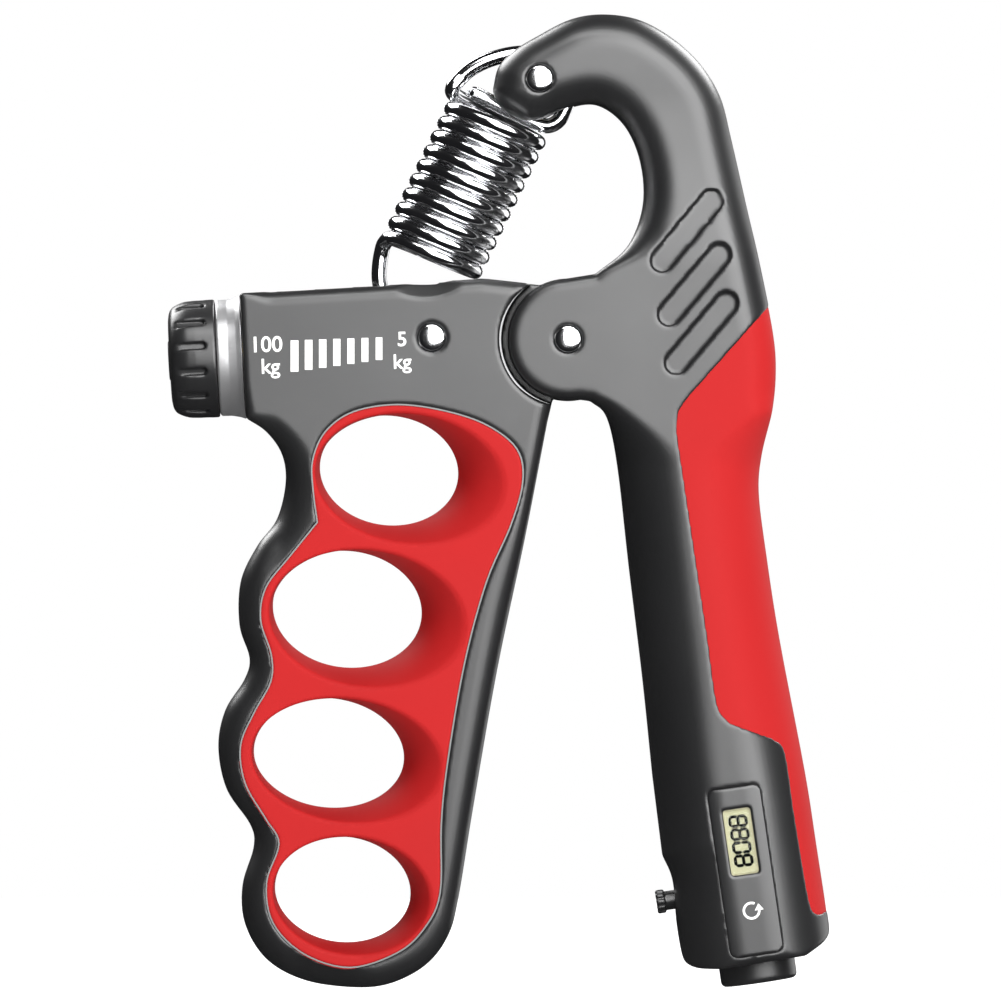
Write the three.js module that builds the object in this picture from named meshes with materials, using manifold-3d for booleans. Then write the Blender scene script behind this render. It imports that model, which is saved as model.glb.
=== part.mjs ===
// Adjustable hand dynamometer: a finger handle and a palm handle on one pivot, a tension spring between
// the palm handle's hook and a carriage that a knob winds along the finger handle's barrel, and a
// squeeze counter in the palm handle's foot.
// Millimetres. +Z is up the handles, +X points to the palm handle, and the front faces -Y.
// The origin is the middle of the bounding box's bottom face.
import * as THREE from "three";
import { ConvexGeometry } from "three/addons/geometries/ConvexGeometry.js";
import { mergeVertices } from "three/addons/utils/BufferGeometryUtils.js";
import Module from "manifold-3d";

const wasm = await Module();
wasm.setup();

// ---- Driving dimensions ----
const GAP = 0.3; // clearance between neighbouring pieces
const CURVE_STEPS = 2; // facets between two points of an outline's curve
const ARC_STEP = Math.PI / 14; // turn between two corners of an outline's arc
const BEVEL_STEPS = 1;
const SIDES = 20; // facets round a turned piece

const PIVOT = [11.7, 110]; // x, z of the hinge between the handles
const ANCHOR = [6.9, 154.2]; // the pin that holds the spring's upper loop
const CARRIAGE_PIN = [-16.3, 117.2]; // the pin that holds the spring's lower hook
const BARREL_PIN = [-11.4, 110.3]; // the cross pin that holds the lead screw's end block

const PALM_DEPTH = 13; // half the palm handle's thickness
const HOOK_DEPTH = 9.5; // half the hook's thickness at its nose
const FINGER_DEPTH = 12; // half the finger handle's thickness
const INSERT_DEPTH = 12.1;
const PALM_ROUND = 2.2;
const FINGER_ROUND = 1;
const INSERT_ROUND = 0.6;

const LUG_RADIUS = 10.4; // the round lugs at the pivot
const LUG_SEAT = 11.3; // the round seat that they turn in
const TONGUE_DEPTH = 4; // half the finger handle's tongue between the lugs
const CHEEK_INNER = 5.3; // inner face of each palm lug
const WASHER_THICKNESS = 0.7;
const PIN_RADIUS = 2.25;
const SMALL_PIN_RADIUS = 1.75;
const WIRE = 2.4; // diameter of the main spring's wire
const COIL_RADIUS = 7.85; // centre of the wire
const COIL_BOTTOM = [-11.7, 123.9];
const COIL_TOP = [-0.7, 146.4];
const COIL_TURNS = 9.25;
const NOSE_SLOT = 1.8; // half the width of the slot that the spring's upper loop sits in

const BARREL_TILT = THREE.MathUtils.degToRad(3);
const FOOT_TILT = THREE.MathUtils.degToRad(8.3);
const FOOT = [44.3, 0.81]; // middle of the reset knob's end face
const KNOB_RADIUS = 10;
const KNOB_OUTER = -67.7; // knob, collar and barrel ends, along the barrel from the pivot
const KNOB_INNER = -59.9;
const BARREL_END = -55.2;
const KNOB_SLOTS = 14;
const SCREW_RADIUS = 2.5;
const NUT = { left: -37.5, right: -29, half: 6, low: -5.5, high: 3.3 };
const TROUGH = { left: -52, right: -13, half: 9.7, floor: 5 };
const RESET_RADIUS = 6.5;
const PLUNGER_HEIGHT = 16; // up the foot from the reset knob's end face

const FINGER_HOLES = [
  { hole: [-18.7, 87.8], size: [11.8, 9.3], flare: [-14.9, 86.3], flareSize: [16.4, 11.1] },
  { hole: [-25.8, 64.2], size: [12.7, 9.9], flare: [-22.1, 62.6], flareSize: [16.9, 11.7] },
  { hole: [-29.0, 39.8], size: [12.9, 9.3], flare: [-25.5, 38.6], flareSize: [16.4, 10.5] },
  { hole: [-26.6, 16.6], size: [11.6, 9.0], flare: [-24.8, 15.7], flareSize: [13.5, 10.0] },
];
const HOLE_TILT = THREE.MathUtils.degToRad(-7);
const HOLE_THROAT = 3; // half the length of each hole's straight middle

const GRIP_GROOVES = [
  [[27.6, 123.3], [36.0, 133.4]],
  [[28.8, 114.2], [37.3, 124.3]],
  [[30.0, 106.0], [38.5, 116.1]],
];
const GROOVE_RADIUS = 1.8;
const GROOVE_DEPTH = 0.8;
const PALM_SCREWS = [[27.5, 154.0], [23.6, 112.5], [26.8, 94.5], [31.5, 42.0]];
const FINGER_SCREWS = [[-38.5, 99.0], [3.3, 97.3], [-3.6, 52.0]];
const SCREW_HEAD = 2;
const SCREW_SHANK = 0.9;

// ---- Materials ----
const finish = (color, roughness, metalness = 0) =>
  new THREE.MeshStandardMaterial({ color, roughness, metalness });
const BLACK_ABS = finish(0x35363a, 0.5);
const RED_GRIP = finish(0xe43a3a, 0.55);
const CHROME = finish(0xd8d9dc, 0.12, 1);
const STEEL = finish(0x9a9ca0, 0.35, 1);
const BRASS = finish(0xb89b52, 0.35, 1);
const NYLON = finish(0xd9d6cb, 0.6);
const BOARD = finish(0x1f5a3a, 0.6);
const LCD = finish(0xd8d2a5, 0.4);
const GLASS = finish(0xe6eceb, 0.05);

// ---- Solids ----
// A watertight solid from a geometry. Corners that share a place are merged first, and the triangles
// that this flattens, such as those round a lathe's axis, are dropped.
function solid(geometry) {
  const bare = geometry.clone();
  bare.deleteAttribute("normal");
  bare.deleteAttribute("uv");
  const merged = mergeVertices(bare, 1e-4);
  const places = merged.attributes.position.array;
  const corners = merged.index.array;
  const triangles = [];
  let volume = 0;
  for (let i = 0; i < corners.length; i += 3) {
    const [a, b, c] = [corners[i], corners[i + 1], corners[i + 2]];
    if (a === b || b === c || c === a) continue;
    triangles.push(a, b, c);
    const [p, q, r] = [a, b, c].map((n) => new THREE.Vector3().fromArray(places, 3 * n));
    volume += p.dot(q.cross(r));
  }
  if (volume < 0) triangles.reverse();
  return new wasm.Manifold(new wasm.Mesh({
    numProp: 3,
    vertProperties: Float32Array.from(places),
    triVerts: Uint32Array.from(triangles),
  }));
}

const cut = (whole, ...tools) => tools.reduce((rest, tool) => rest.subtract(tool), whole);
const join = (first, ...others) => others.reduce((sum, other) => sum.add(other), first);

function meshOf(name, body, material) {
  const { vertProperties, triVerts, numProp } = body.getMesh();
  const indexed = new THREE.BufferGeometry();
  const places = new THREE.InterleavedBuffer(vertProperties, numProp);
  indexed.setAttribute("position", new THREE.InterleavedBufferAttribute(places, 3, 0));
  indexed.setIndex(new THREE.BufferAttribute(triVerts, 1));
  const geometry = indexed.toNonIndexed();
  geometry.computeVertexNormals();
  const mesh = new THREE.Mesh(geometry, material.clone());
  mesh.name = name;
  return mesh;
}

// An outline in X and Z, thickened along Y from low to high. round rolls its edges over, inside the
// outline, and grow widens the outline all round.
function plate(shape, low, high, { round = 0, grow = 0 } = {}) {
  const points = shape.extractPoints(CURVE_STEPS).shape;
  if (points[0].distanceTo(points.at(-1)) < 1e-3) points.pop();
  const geometry = new THREE.ExtrudeGeometry(new THREE.Shape(points), {
    depth: high - low - 2 * round,
    bevelEnabled: round > 0 || grow !== 0,
    bevelThickness: round,
    bevelSize: round,
    bevelOffset: grow - round,
    bevelSegments: round > 0 ? BEVEL_STEPS : 0,
  });
  geometry.rotateX(Math.PI / 2);
  geometry.translate(0, high - round, 0);
  return solid(geometry);
}

function rod([x, z], radius, low, high, sides = SIDES) {
  const geometry = new THREE.CylinderGeometry(radius, radius, high - low, sides);
  return solid(geometry.translate(x, (low + high) / 2, z));
}

// A block from its lowest and highest corners, in a frame of its own if one is given.
function block(low, high, frame = null) {
  const geometry = new THREE.BoxGeometry(...high.map((value, i) => value - low[i]));
  geometry.translate(...high.map((value, i) => (value + low[i]) / 2));
  if (frame) geometry.applyMatrix4(frame);
  return solid(geometry);
}

// A turned solid: profile points are [distance along the axis, radius]. axis is "x" or "z".
function turned(profile, axis, { sides = SIDES, frame = null } = {}) {
  const points = profile.map(([along, radius]) => new THREE.Vector2(radius, along));
  const geometry = new THREE.LatheGeometry(points, sides);
  if (axis === "x") geometry.rotateZ(-Math.PI / 2);
  else geometry.rotateX(Math.PI / 2);
  if (frame) geometry.applyMatrix4(frame);
  return solid(geometry);
}

// Round wire along a list of points.
function wire(points, diameter, { steps, sides = 8 }) {
  const path = new THREE.CatmullRomCurve3(points, false, "centripetal");
  const section = new THREE.Shape().absarc(0, 0, diameter / 2, 0, 2 * Math.PI);
  return solid(new THREE.ExtrudeGeometry(section, {
    steps,
    curveSegments: sides / 2,
    extrudePath: path,
    bevelEnabled: false,
  }));
}

const helix = (from, to, radius, turns, axis, perTurn = 10) => {
  const count = Math.ceil(turns * perTurn);
  return Array.from({ length: count + 1 }, (_, i) => {
    const along = THREE.MathUtils.lerp(from, to, i / count);
    const angle = (2 * Math.PI * turns * i) / count;
    const [across, deep] = [radius * Math.cos(angle), radius * Math.sin(angle)];
    return axis === "x"
      ? new THREE.Vector3(along, across, deep)
      : new THREE.Vector3(across, deep, along);
  });
};

const outline = (x, z) => new THREE.Shape().moveTo(x, z);
const curve = (shape, points) => shape.splineThru(points.map((p) => new THREE.Vector2(...p)));
function arc(shape, [x, z], radius, from, to) {
  const steps = Math.ceil(Math.abs(to - from) / ARC_STEP);
  for (let i = 0; i <= steps; i += 1) {
    const turn = THREE.MathUtils.lerp(from, to, i / steps);
    shape.lineTo(x + radius * Math.cos(turn), z + radius * Math.sin(turn));
  }
  return shape;
}

function capsule([x0, z0], [x1, z1], radius) {
  const turn = Math.atan2(z1 - z0, x1 - x0);
  const shape = new THREE.Shape();
  shape.absarc(x1, z1, radius, turn - Math.PI / 2, turn + Math.PI / 2);
  shape.absarc(x0, z0, radius, turn + Math.PI / 2, turn + 1.5 * Math.PI);
  return shape;
}

function tilted(angle, [x, z]) {
  return new THREE.Matrix4().makeRotationY(-angle).setPosition(x, 0, z);
}
const BARREL_FRAME = tilted(BARREL_TILT, PIVOT); // X runs along the barrel, away from the knob
const FOOT_FRAME = tilted(FOOT_TILT, FOOT); // Z runs up the palm handle from the reset knob

function frameGroup(frame, ...meshes) {
  const group = new THREE.Group();
  frame.decompose(group.position, group.quaternion, group.scale);
  group.add(...meshes);
  return group;
}

const inFrame = (frame, [x, z]) => {
  const place = new THREE.Vector3(x, 0, z).applyMatrix4(frame.clone().invert());
  return [place.x, place.z];
};
const CARRIAGE = inFrame(BARREL_FRAME, CARRIAGE_PIN);
const CROSS_PIN = inFrame(BARREL_FRAME, BARREL_PIN);

const FRONT_HALF = block([-100, -30, -20], [100, -GAP / 2, 200]);
const BACK_HALF = block([-100, GAP / 2, -20], [100, 30, 200]);
const slab = (half, low = [-100, -20], high = [100, 200]) =>
  block([low[0], -half, low[1]], [high[0], half, high[1]]);

// ---- Outlines ----
function palmOutline() {
  const shape = outline(-1.2, 152.5);
  curve(shape, [
    [-0.2, 156.4], [2.6, 159.3], [6.3, 161.6], [12.0, 164.5], [17.5, 165.4], [23.7, 164.5],
    [29.4, 161.4], [34.2, 157.0], [37.7, 151.3], [39.6, 144.0], [42.2, 132.4], [44.3, 123.3],
    [46.7, 111.2], [47.2, 104.5], [46.6, 98.0], [44.9, 90.5], [44.4, 84.0], [45.7, 73.4],
    [47.9, 59.3], [52.2, 36.8], [54.2, 24.1], [55.9, 13.5], [56.3, 10.1], [55.3, 8.0], [52.0, 5.6],
  ]);
  shape.lineTo(37.4, 3.3);
  curve(shape, [[33.2, 3.5], [31.0, 5.2], [30.0, 10.0], [29.4, 17.9], [27.6, 22.4]]);
  curve(shape, [[25.9, 36.0], [24.2, 52.5], [21.9, 71.4], [20.0, 88.2], [18.2, 96.8], [15.5, 99.5]]);
  arc(shape, PIVOT, LUG_RADIUS, -1.396, -4.65);
  curve(shape, [
    [16.2, 121.2], [21.6, 125.8], [24.3, 132.8], [23.9, 140.2], [21.2, 146.4], [16.6, 149.8],
    [11.5, 149.2], [7.6, 147.5], [4.6, 147.1], [1.4, 148.4], [-0.6, 150.3], [-1.2, 152.5],
  ]);
  return shape;
}

// The red palm grip's edge on the handle's face, closed outside the handle.
function gripOutline() {
  const shape = outline(60, 122);
  shape.lineTo(51.5, 122);
  shape.lineTo(31.9, 99.9);
  curve(shape, [[30.4, 97.4], [30.2, 94.0]]);
  curve(shape, [[35.4, 59.3], [37.0, 48.2], [39.0, 45.1]]);
  curve(shape, [[46.4, 42.4], [48.5, 40.0]]);
  curve(shape, [[50.1, 29.4], [52.6, 14.8], [54.0, 12.5]]);
  shape.lineTo(60, 14.5);
  return shape;
}

function fingerOutline() {
  const shape = outline(-43.9, 117.8);
  shape.lineTo(-42.8, 96.6);
  curve(shape, [
    [-39.4, 94.3], [-36.8, 90.5], [-36.2, 85.7], [-37.7, 79.5], [-41.0, 75.0], [-43.8, 69.0],
    [-44.0, 61.5], [-42.3, 56.0], [-43.2, 52.3], [-46.4, 47.2], [-47.6, 41.0], [-46.2, 33.8],
    [-42.2, 27.8], [-41.6, 24.0], [-43.5, 17.5], [-43.1, 11.0], [-39.6, 5.1], [-33.5, 1.5],
    [-26.0, 0.2], [-18.9, 0.7], [-12.5, 3.9], [-8.6, 9.0], [-6.8, 15.8],
  ]);
  curve(shape, [[-4.4, 30.5], [-0.3, 54.0], [4.4, 76.3], [8.2, 96.0]]);
  arc(shape, PIVOT, LUG_RADIUS, -1.82, 2.04);
  shape.lineTo(-3.2, 120.4);
  shape.lineTo(-19.8, 119.2);
  return shape;
}

function insertOutline() {
  const shape = outline(-30.7, 79.0);
  curve(shape, [
    [-31.4, 84.3], [-31.5, 89.5], [-29.3, 94.4], [-24.6, 97.7], [-17.2, 98.9], [-9.0, 97.8],
    [-2.0, 95.4], [3.0, 91.4], [4.0, 86.0], [2.0, 78.6],
  ]);
  curve(shape, [
    [-2.2, 68.8], [-5.9, 55.0], [-8.7, 38.6], [-9.8, 28.0], [-10.0, 16.3], [-12.6, 10.4],
    [-17.2, 6.2], [-25.2, 3.7], [-33.0, 6.0], [-38.2, 11.2], [-39.3, 18.0], [-37.2, 24.6],
    [-39.4, 28.8], [-42.9, 34.8], [-43.7, 41.2], [-41.4, 46.8], [-38.6, 52.0], [-38.5, 56.6],
    [-40.3, 62.5], [-39.4, 68.0], [-35.4, 73.2], [-30.7, 79.0],
  ]);
  return shape;
}

// ---- Palm handle ----
function palmBody() {
  const hookTaper = new THREE.Shape([
    [-PALM_DEPTH - 1, -5], [PALM_DEPTH + 1, -5], [PALM_DEPTH + 1, 122], [PALM_DEPTH, 128],
    [HOOK_DEPTH, 150], [HOOK_DEPTH, 170], [-HOOK_DEPTH, 170], [-HOOK_DEPTH, 150],
    [-PALM_DEPTH, 128], [-PALM_DEPTH - 1, 122],
  ].map((p) => new THREE.Vector2(...p)));
  const side = new THREE.ExtrudeGeometry(hookTaper, { depth: 200, bevelEnabled: false });
  side.rotateX(Math.PI / 2).rotateZ(Math.PI / 2).translate(-100, 0, 0);
  return plate(palmOutline(), -PALM_DEPTH, PALM_DEPTH, { round: PALM_ROUND }).intersect(solid(side));
}

const screwHole = (place, depth) => join(
  rod(place, SCREW_HEAD + GAP, depth - 2.4, depth + 5, 16),
  rod(place, SCREW_SHANK + GAP, -depth + 5, depth, 12),
);
function screwAt(name, place, depth) {
  const head = rod(place, SCREW_HEAD, depth - 2.1, depth - 0.6, 16);
  const shank = rod(place, SCREW_SHANK, -depth + 6, depth - 1.8, 10);
  const drive = [0, 1].map((turn) => {
    const bar = new THREE.BoxGeometry(2.2, 1.2, 0.5).rotateY((turn * Math.PI) / 2);
    return solid(bar.translate(place[0], depth - 0.6, place[1]));
  });
  return meshOf(name, cut(join(head, shank), ...drive), STEEL);
}

function noseSlot() {
  const shape = outline(14.5, 154.2);
  shape.lineTo(14.5, 140);
  shape.lineTo(-12, 140);
  shape.lineTo(-12, 160.5);
  shape.lineTo(-1, 160.5);
  arc(shape, ANCHOR, 7.6, 2.2, 0);
  return plate(shape, -NOSE_SLOT, NOSE_SLOT);
}

function palmShells(body) {
  const grooves = GRIP_GROOVES.flatMap(([low, high]) => {
    const groove = capsule(low, high, GROOVE_RADIUS);
    return [
      plate(groove, -PALM_DEPTH - 2, -PALM_DEPTH + GROOVE_DEPTH),
      plate(groove, PALM_DEPTH - GROOVE_DEPTH, PALM_DEPTH + 2),
    ];
  });
  const hollow = new THREE.Shape([
    [27.4, 48], [33.6, 48], [32.2, 58], [28.0, 88], [22.8, 88], [24.6, 72],
  ].map((p) => new THREE.Vector2(...p)));
  const whole = cut(
    body,
    plate(gripOutline(), -30, 30, { grow: GAP }),
    rod(PIVOT, LUG_SEAT, -CHEEK_INNER, CHEEK_INNER, 40),
    rod(PIVOT, PIN_RADIUS + GAP, -30, 30),
    rod(ANCHOR, PIN_RADIUS + GAP, -30, 30),
    noseSlot(),
    plate(hollow, -10, 10),
    block([-10.2, -10, 6.8], [8.6, 10, 38], FOOT_FRAME), // counter chamber
    block([-4.7, -20, 4.7], [5.1, -11.6, 32.7], FOOT_FRAME), // seat of the counter panel
    block([-3.6, -12, 17.6], [3.9, -9, 31.2], FOOT_FRAME), // window behind the panel
    turned([[-5, 0], [-5, RESET_RADIUS + 0.35], [7, RESET_RADIUS + 0.35], [7, 0]], "z", {
      frame: FOOT_FRAME,
    }),
    turned([[-20, 0], [-20, 1.8], [-9, 1.8], [-9, 0]], "x", {
      frame: FOOT_FRAME.clone().multiply(new THREE.Matrix4().makeTranslation(0, 0, PLUNGER_HEIGHT)),
    }),
    ...grooves,
    ...PALM_SCREWS.map((place) => screwHole(place, backFaceAt(place))),
  );
  return [
    meshOf("palm_shell_front", whole.intersect(FRONT_HALF), BLACK_ABS),
    meshOf("palm_shell_back", whole.intersect(BACK_HALF), BLACK_ABS),
  ];
}

// Half the palm handle's thickness at a screw: the hook tapers above z 128.
function backFaceAt([, z]) {
  return THREE.MathUtils.mapLinear(Math.min(Math.max(z, 128), 150), 128, 150, PALM_DEPTH, HOOK_DEPTH);
}

function palmHandle() {
  const body = palmBody();
  const grip = body.intersect(plate(gripOutline(), -30, 30));
  const washers = [-1, 1].map((side) => {
    const middle = side * (TONGUE_DEPTH + GAP + WASHER_THICKNESS / 2);
    const half = WASHER_THICKNESS / 2;
    const ring = cut(
      rod(PIVOT, 6, middle - half, middle + half),
      rod(PIVOT, PIN_RADIUS + GAP, middle - 1, middle + 1),
    );
    return meshOf(side < 0 ? "pivot_washer_front" : "pivot_washer_back", ring, NYLON);
  });
  return [
    ...palmShells(body),
    meshOf("palm_grip", grip, RED_GRIP),
    meshOf("pivot_pin", rod(PIVOT, PIN_RADIUS, -PALM_DEPTH - 0.1, PALM_DEPTH + 0.1), CHROME),
    meshOf("anchor_pin", rod(ANCHOR, PIN_RADIUS, -HOOK_DEPTH - 0.1, HOOK_DEPTH + 0.1), CHROME),
    ...washers,
    ...PALM_SCREWS.map((place, i) => screwAt(`palm_screw_${i + 1}`, place, backFaceAt(place))),
  ];
}

// ---- Counter, in the foot's frame ----
function counterParts() {
  const window = block([-2.2, -20, 18.8], [2.5, 0, 30]);
  const corner = 1.3;
  const face = outline(-4.4 + corner, 5);
  face.lineTo(4.8 - corner, 5).absarc(4.8 - corner, 5 + corner, corner, -Math.PI / 2, 0);
  face.absarc(4.8 - corner, 32.4 - corner, corner, 0, Math.PI / 2);
  face.absarc(-4.4 + corner, 32.4 - corner, corner, Math.PI / 2, Math.PI);
  face.absarc(-4.4 + corner, 5 + corner, corner, Math.PI, 1.5 * Math.PI);
  const panel = cut(plate(face, -12.95, -11.9), window);
  const clip = join(
    block([-2, -2.0, 19.6], [3, -1.4, 34.6]),
    block([-2, -7.9, 19.6], [3, -1.4, 20.2]),
    block([-2, -7.9, 34.0], [3, -1.4, 34.6]),
  );
  const guide = cut(
    block([-8.6, -9.6, 12.2], [8.2, 9.6, 13.2]),
    turned([[10, 0], [10, 2.4], [15, 2.4], [15, 0]], "z"),
  );
  return [
    meshOf("counter_panel", panel, BLACK_ABS),
    meshOf("display_lens", block([-1.9, -12.7, 19.1], [2.2, -12.1, 29.7]), GLASS),
    meshOf("lcd_module", block([-3.1, -11.3, 18], [3.4, -9.9, 30.8]), LCD),
    meshOf("counter_board", block([-4.5, -9.4, 14.2], [4.8, -8.2, 36]), BOARD),
    meshOf("button_cell", rod([0.5, 27.1], 5.8, -7.6, -2.4), STEEL),
    meshOf("cell_clip", clip, STEEL),
    meshOf("count_switch", block([-5.2, -7.8, 14.2], [-2.4, 2.4, 17.8]), BLACK_ABS),
    meshOf("guide_plate", guide, NYLON),
  ];
}

// The plunger that the closing finger handle strikes. It slides across the foot.
function plungerParts() {
  const profile = [
    [-15.4, 0], [-15.4, 1.4], [-14.9, 2.35], [-14.3, 2.35], [-14.3, 1.5], [-9.9, 1.5], [-9.9, 2.8],
    [-9.1, 2.8], [-9.1, 1.5], [-7.3, 1.5], [-7.3, 0],
  ];
  const notches = Array.from({ length: 8 }, (_, i) => {
    const bar = new THREE.BoxGeometry(1.4, 0.5, 1.2).translate(-15, 0, 2.35);
    return solid(bar.rotateX((i * Math.PI) / 4));
  });
  const plunger = cut(turned(profile, "x", { sides: 20 }), ...notches);
  const spring = wire(helix(-8.7, -5.7, 2.3, 3, "x"), 0.5, { steps: 30, sides: 4 });
  const group = new THREE.Group();
  group.position.z = PLUNGER_HEIGHT;
  group.add(meshOf("count_plunger", plunger, BLACK_ABS), meshOf("plunger_spring", spring, STEEL));
  return group;
}

function resetParts() {
  const knob = turned([
    [0, 0], [0, 5.6], [0.7, RESET_RADIUS], [7.1, RESET_RADIUS], [7.1, 7.6], [8.3, 7.6], [8.3, 2.3],
    [1.4, 2.3], [1.4, 0],
  ], "z");
  const stem = turned([[1.7, 0], [1.7, 2], [13.2, 2], [13.2, 0]], "z", { sides: 20 });
  const spring = wire(helix(9, 11.7, 4.2, 2.5, "z"), 0.6, { steps: 26, sides: 4 });
  return [
    meshOf("reset_knob", knob, BLACK_ABS),
    meshOf("reset_stem", stem, STEEL),
    meshOf("reset_spring", spring, STEEL),
  ];
}

// ---- Finger handle ----
function fingerHandle() {
  const scoopRadius = 11.3;
  const tools = [
    cut(rod(PIVOT, LUG_SEAT, -30, 30, 40), slab(TONGUE_DEPTH)),
    rod(PIVOT, PIN_RADIUS + GAP, -30, 30),
    rod(BARREL_PIN, PIN_RADIUS + GAP, -30, 30),
    rod([-12.6, 116.9 + scoopRadius], scoopRadius, -30, 30, 48), // clearance under the coil
    plate(insertOutline(), -30, 30, { grow: GAP }),
    block([TROUGH.left, -TROUGH.half, TROUGH.floor], [TROUGH.right, TROUGH.half, 30], BARREL_FRAME),
    block([-51.8, -3.5, 3], [-23.5, 3.5, 6], BARREL_FRAME), // slot for the carriage's ears
    block([-52.6, -6.3, -5.8], [-28.6, 6.3, 3.6], BARREL_FRAME), // the carriage's channel
    block([-29, -5.3, -4.8], [-18.7, 5.3, 5.4], BARREL_FRAME), // pocket of the end block
    turned([[-70, 0], [-70, 4.2], [-50, 4.2], [-50, 0]], "x", { frame: BARREL_FRAME }),
    ...FINGER_SCREWS.map((place) => screwHole(place, FINGER_DEPTH)),
  ];
  const body = plate(fingerOutline(), -FINGER_DEPTH, FINGER_DEPTH, { round: FINGER_ROUND });
  const shells = cut(body, ...tools);
  return [
    meshOf("finger_shell_front", shells.intersect(FRONT_HALF), BLACK_ABS),
    meshOf("finger_shell_back", shells.intersect(BACK_HALF), BLACK_ABS),
    meshOf("finger_insert", fingerInsert(), RED_GRIP),
    meshOf("barrel_pin", rod(BARREL_PIN, PIN_RADIUS, -12.1, 12.1), CHROME),
    ...FINGER_SCREWS.map((place, i) => screwAt(`finger_screw_${i + 1}`, place, FINGER_DEPTH)),
  ];
}

// Four finger holes, each straight in the middle and flared out to both faces.
function fingerInsert() {
  const ring = ([x, z], [a, b], y) => Array.from({ length: 22 }, (_, i) => {
    const turn = (i * Math.PI) / 11;
    const [across, up] = [a * Math.cos(turn), b * Math.sin(turn)];
    return new THREE.Vector3(
      x + across * Math.cos(HOLE_TILT) - up * Math.sin(HOLE_TILT),
      y,
      z + across * Math.sin(HOLE_TILT) + up * Math.cos(HOLE_TILT),
    );
  });
  const loft = (...rings) => solid(new ConvexGeometry(rings.flat()));
  const holes = FINGER_HOLES.flatMap(({ hole, size, flare, flareSize }) => [
    loft(ring(hole, size, -20), ring(hole, size, 20)),
    ...[-1, 1].map((side) => loft(
      ring(hole, size, side * HOLE_THROAT),
      ring(flare, flareSize, side * INSERT_DEPTH),
      ring(flare, flareSize, side * (INSERT_DEPTH + 2)),
    )),
  ]);
  return cut(
    plate(insertOutline(), -INSERT_DEPTH, INSERT_DEPTH, { round: INSERT_ROUND }),
    ...holes,
  );
}

// ---- Barrel fittings, in the barrel's frame ----
function barrelParts() {
  const collar = turned([
    [KNOB_INNER + 0.4, 5.6], [BARREL_END - 0.3, 5.6], [BARREL_END - 0.3, 10.4], [-56.6, 10.1],
    [KNOB_INNER + 0.8, 9.9], [KNOB_INNER + 0.4, 9.5], [KNOB_INNER + 0.4, 5.6],
  ], "x", { sides: 28 });
  const bush = turned([
    [-59.3, 2.8], [-52.9, 2.8], [-52.9, 3.9], [-55.6, 3.9], [-55.6, 5.3], [-59.3, 5.3], [-59.3, 2.8],
  ], "x");
  const endBlock = cut(
    block([-28.3, -5, -4.5], [-19, 5, 4.9]),
    rod(CROSS_PIN, PIN_RADIUS + GAP, -10, 10),
    turned([[-30, 0], [-30, 1.9], [-25.2, 1.9], [-25.2, 0]], "x"),
    block([-30, -2.1, 3.6], [-24.2, 2.1, 6]),
  );
  return [
    meshOf("barrel_collar", collar, CHROME),
    meshOf("screw_bush", bush, BRASS),
    meshOf("screw_end_block", endBlock, STEEL),
  ];
}

function knobParts() {
  const [left, right] = [KNOB_OUTER, KNOB_INNER];
  const blank = turned([
    [left, 5], [left, 7.6], [left + 0.5, 8.9], [left + 1.5, 9.7], [left + 2.8, KNOB_RADIUS],
    [right - 0.4, KNOB_RADIUS], [right, 9.6], [right, 2.8], [-64.2, 2.8], [-64.2, 1.4], [-66.2, 1.4],
    [-66.2, 5], [left, 5],
  ], "x", { sides: 28 });
  const slots = Array.from({ length: KNOB_SLOTS }, (_, i) => {
    const bar = new THREE.BoxGeometry(7.5, 1.6, 1.6).translate(left + 3.1, 0, KNOB_RADIUS + 0.2);
    return solid(bar.rotateX((2 * Math.PI * (i + 0.5)) / KNOB_SLOTS));
  });
  const screw = cut(
    turned([
      [-63.9, 0], [-63.9, SCREW_RADIUS], [-28.7, SCREW_RADIUS], [-28.7, 1.6], [-25.5, 1.6], [-25.5, 0],
    ], "x"),
    turned([[-65, 0], [-65, 1.35], [-60, 1.35], [-60, 0]], "x", { sides: 16 }),
  );
  const knobScrew = turned([
    [-66.9, 0], [-66.9, 2.4], [-66.5, 2.6], [-66.5, 1.05], [-60.4, 1.05], [-60.4, 0],
  ], "x", { sides: 16 });
  return [
    meshOf("adjusting_knob", cut(blank, ...slots), BLACK_ABS),
    meshOf("lead_screw", screw, STEEL),
    meshOf("knob_screw", knobScrew, STEEL),
    meshOf("knob_cap", turned([[-68, 0], [-68, 4.5], [-67.2, 4.7], [-67.2, 0]], "x"), BLACK_ABS),
  ];
}

function carriageParts() {
  const ears = plate(capsule([-33.5, 6.7], CARRIAGE, 3), -3.1, 3.1);
  const body = cut(
    join(
      block([NUT.left, -NUT.half, NUT.low], [NUT.right, NUT.half, NUT.high]),
      block([-36, -3.1, NUT.high - 1], [-30.5, 3.1, 7]),
      ears,
    ),
    turned([[-50, 0], [-50, SCREW_RADIUS + 0.25], [-20, SCREW_RADIUS + 0.25], [-20, 0]], "x"),
    block([-32.8, -1.75, 3.7], [-20, 1.75, 20]),
    rod(CARRIAGE, SMALL_PIN_RADIUS + GAP, -10, 10, 20),
  );
  return [
    meshOf("carriage_nut", body, BLACK_ABS),
    meshOf("carriage_pin", rod(CARRIAGE, SMALL_PIN_RADIUS, -3.1, 3.1, 20), STEEL),
  ];
}

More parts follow.
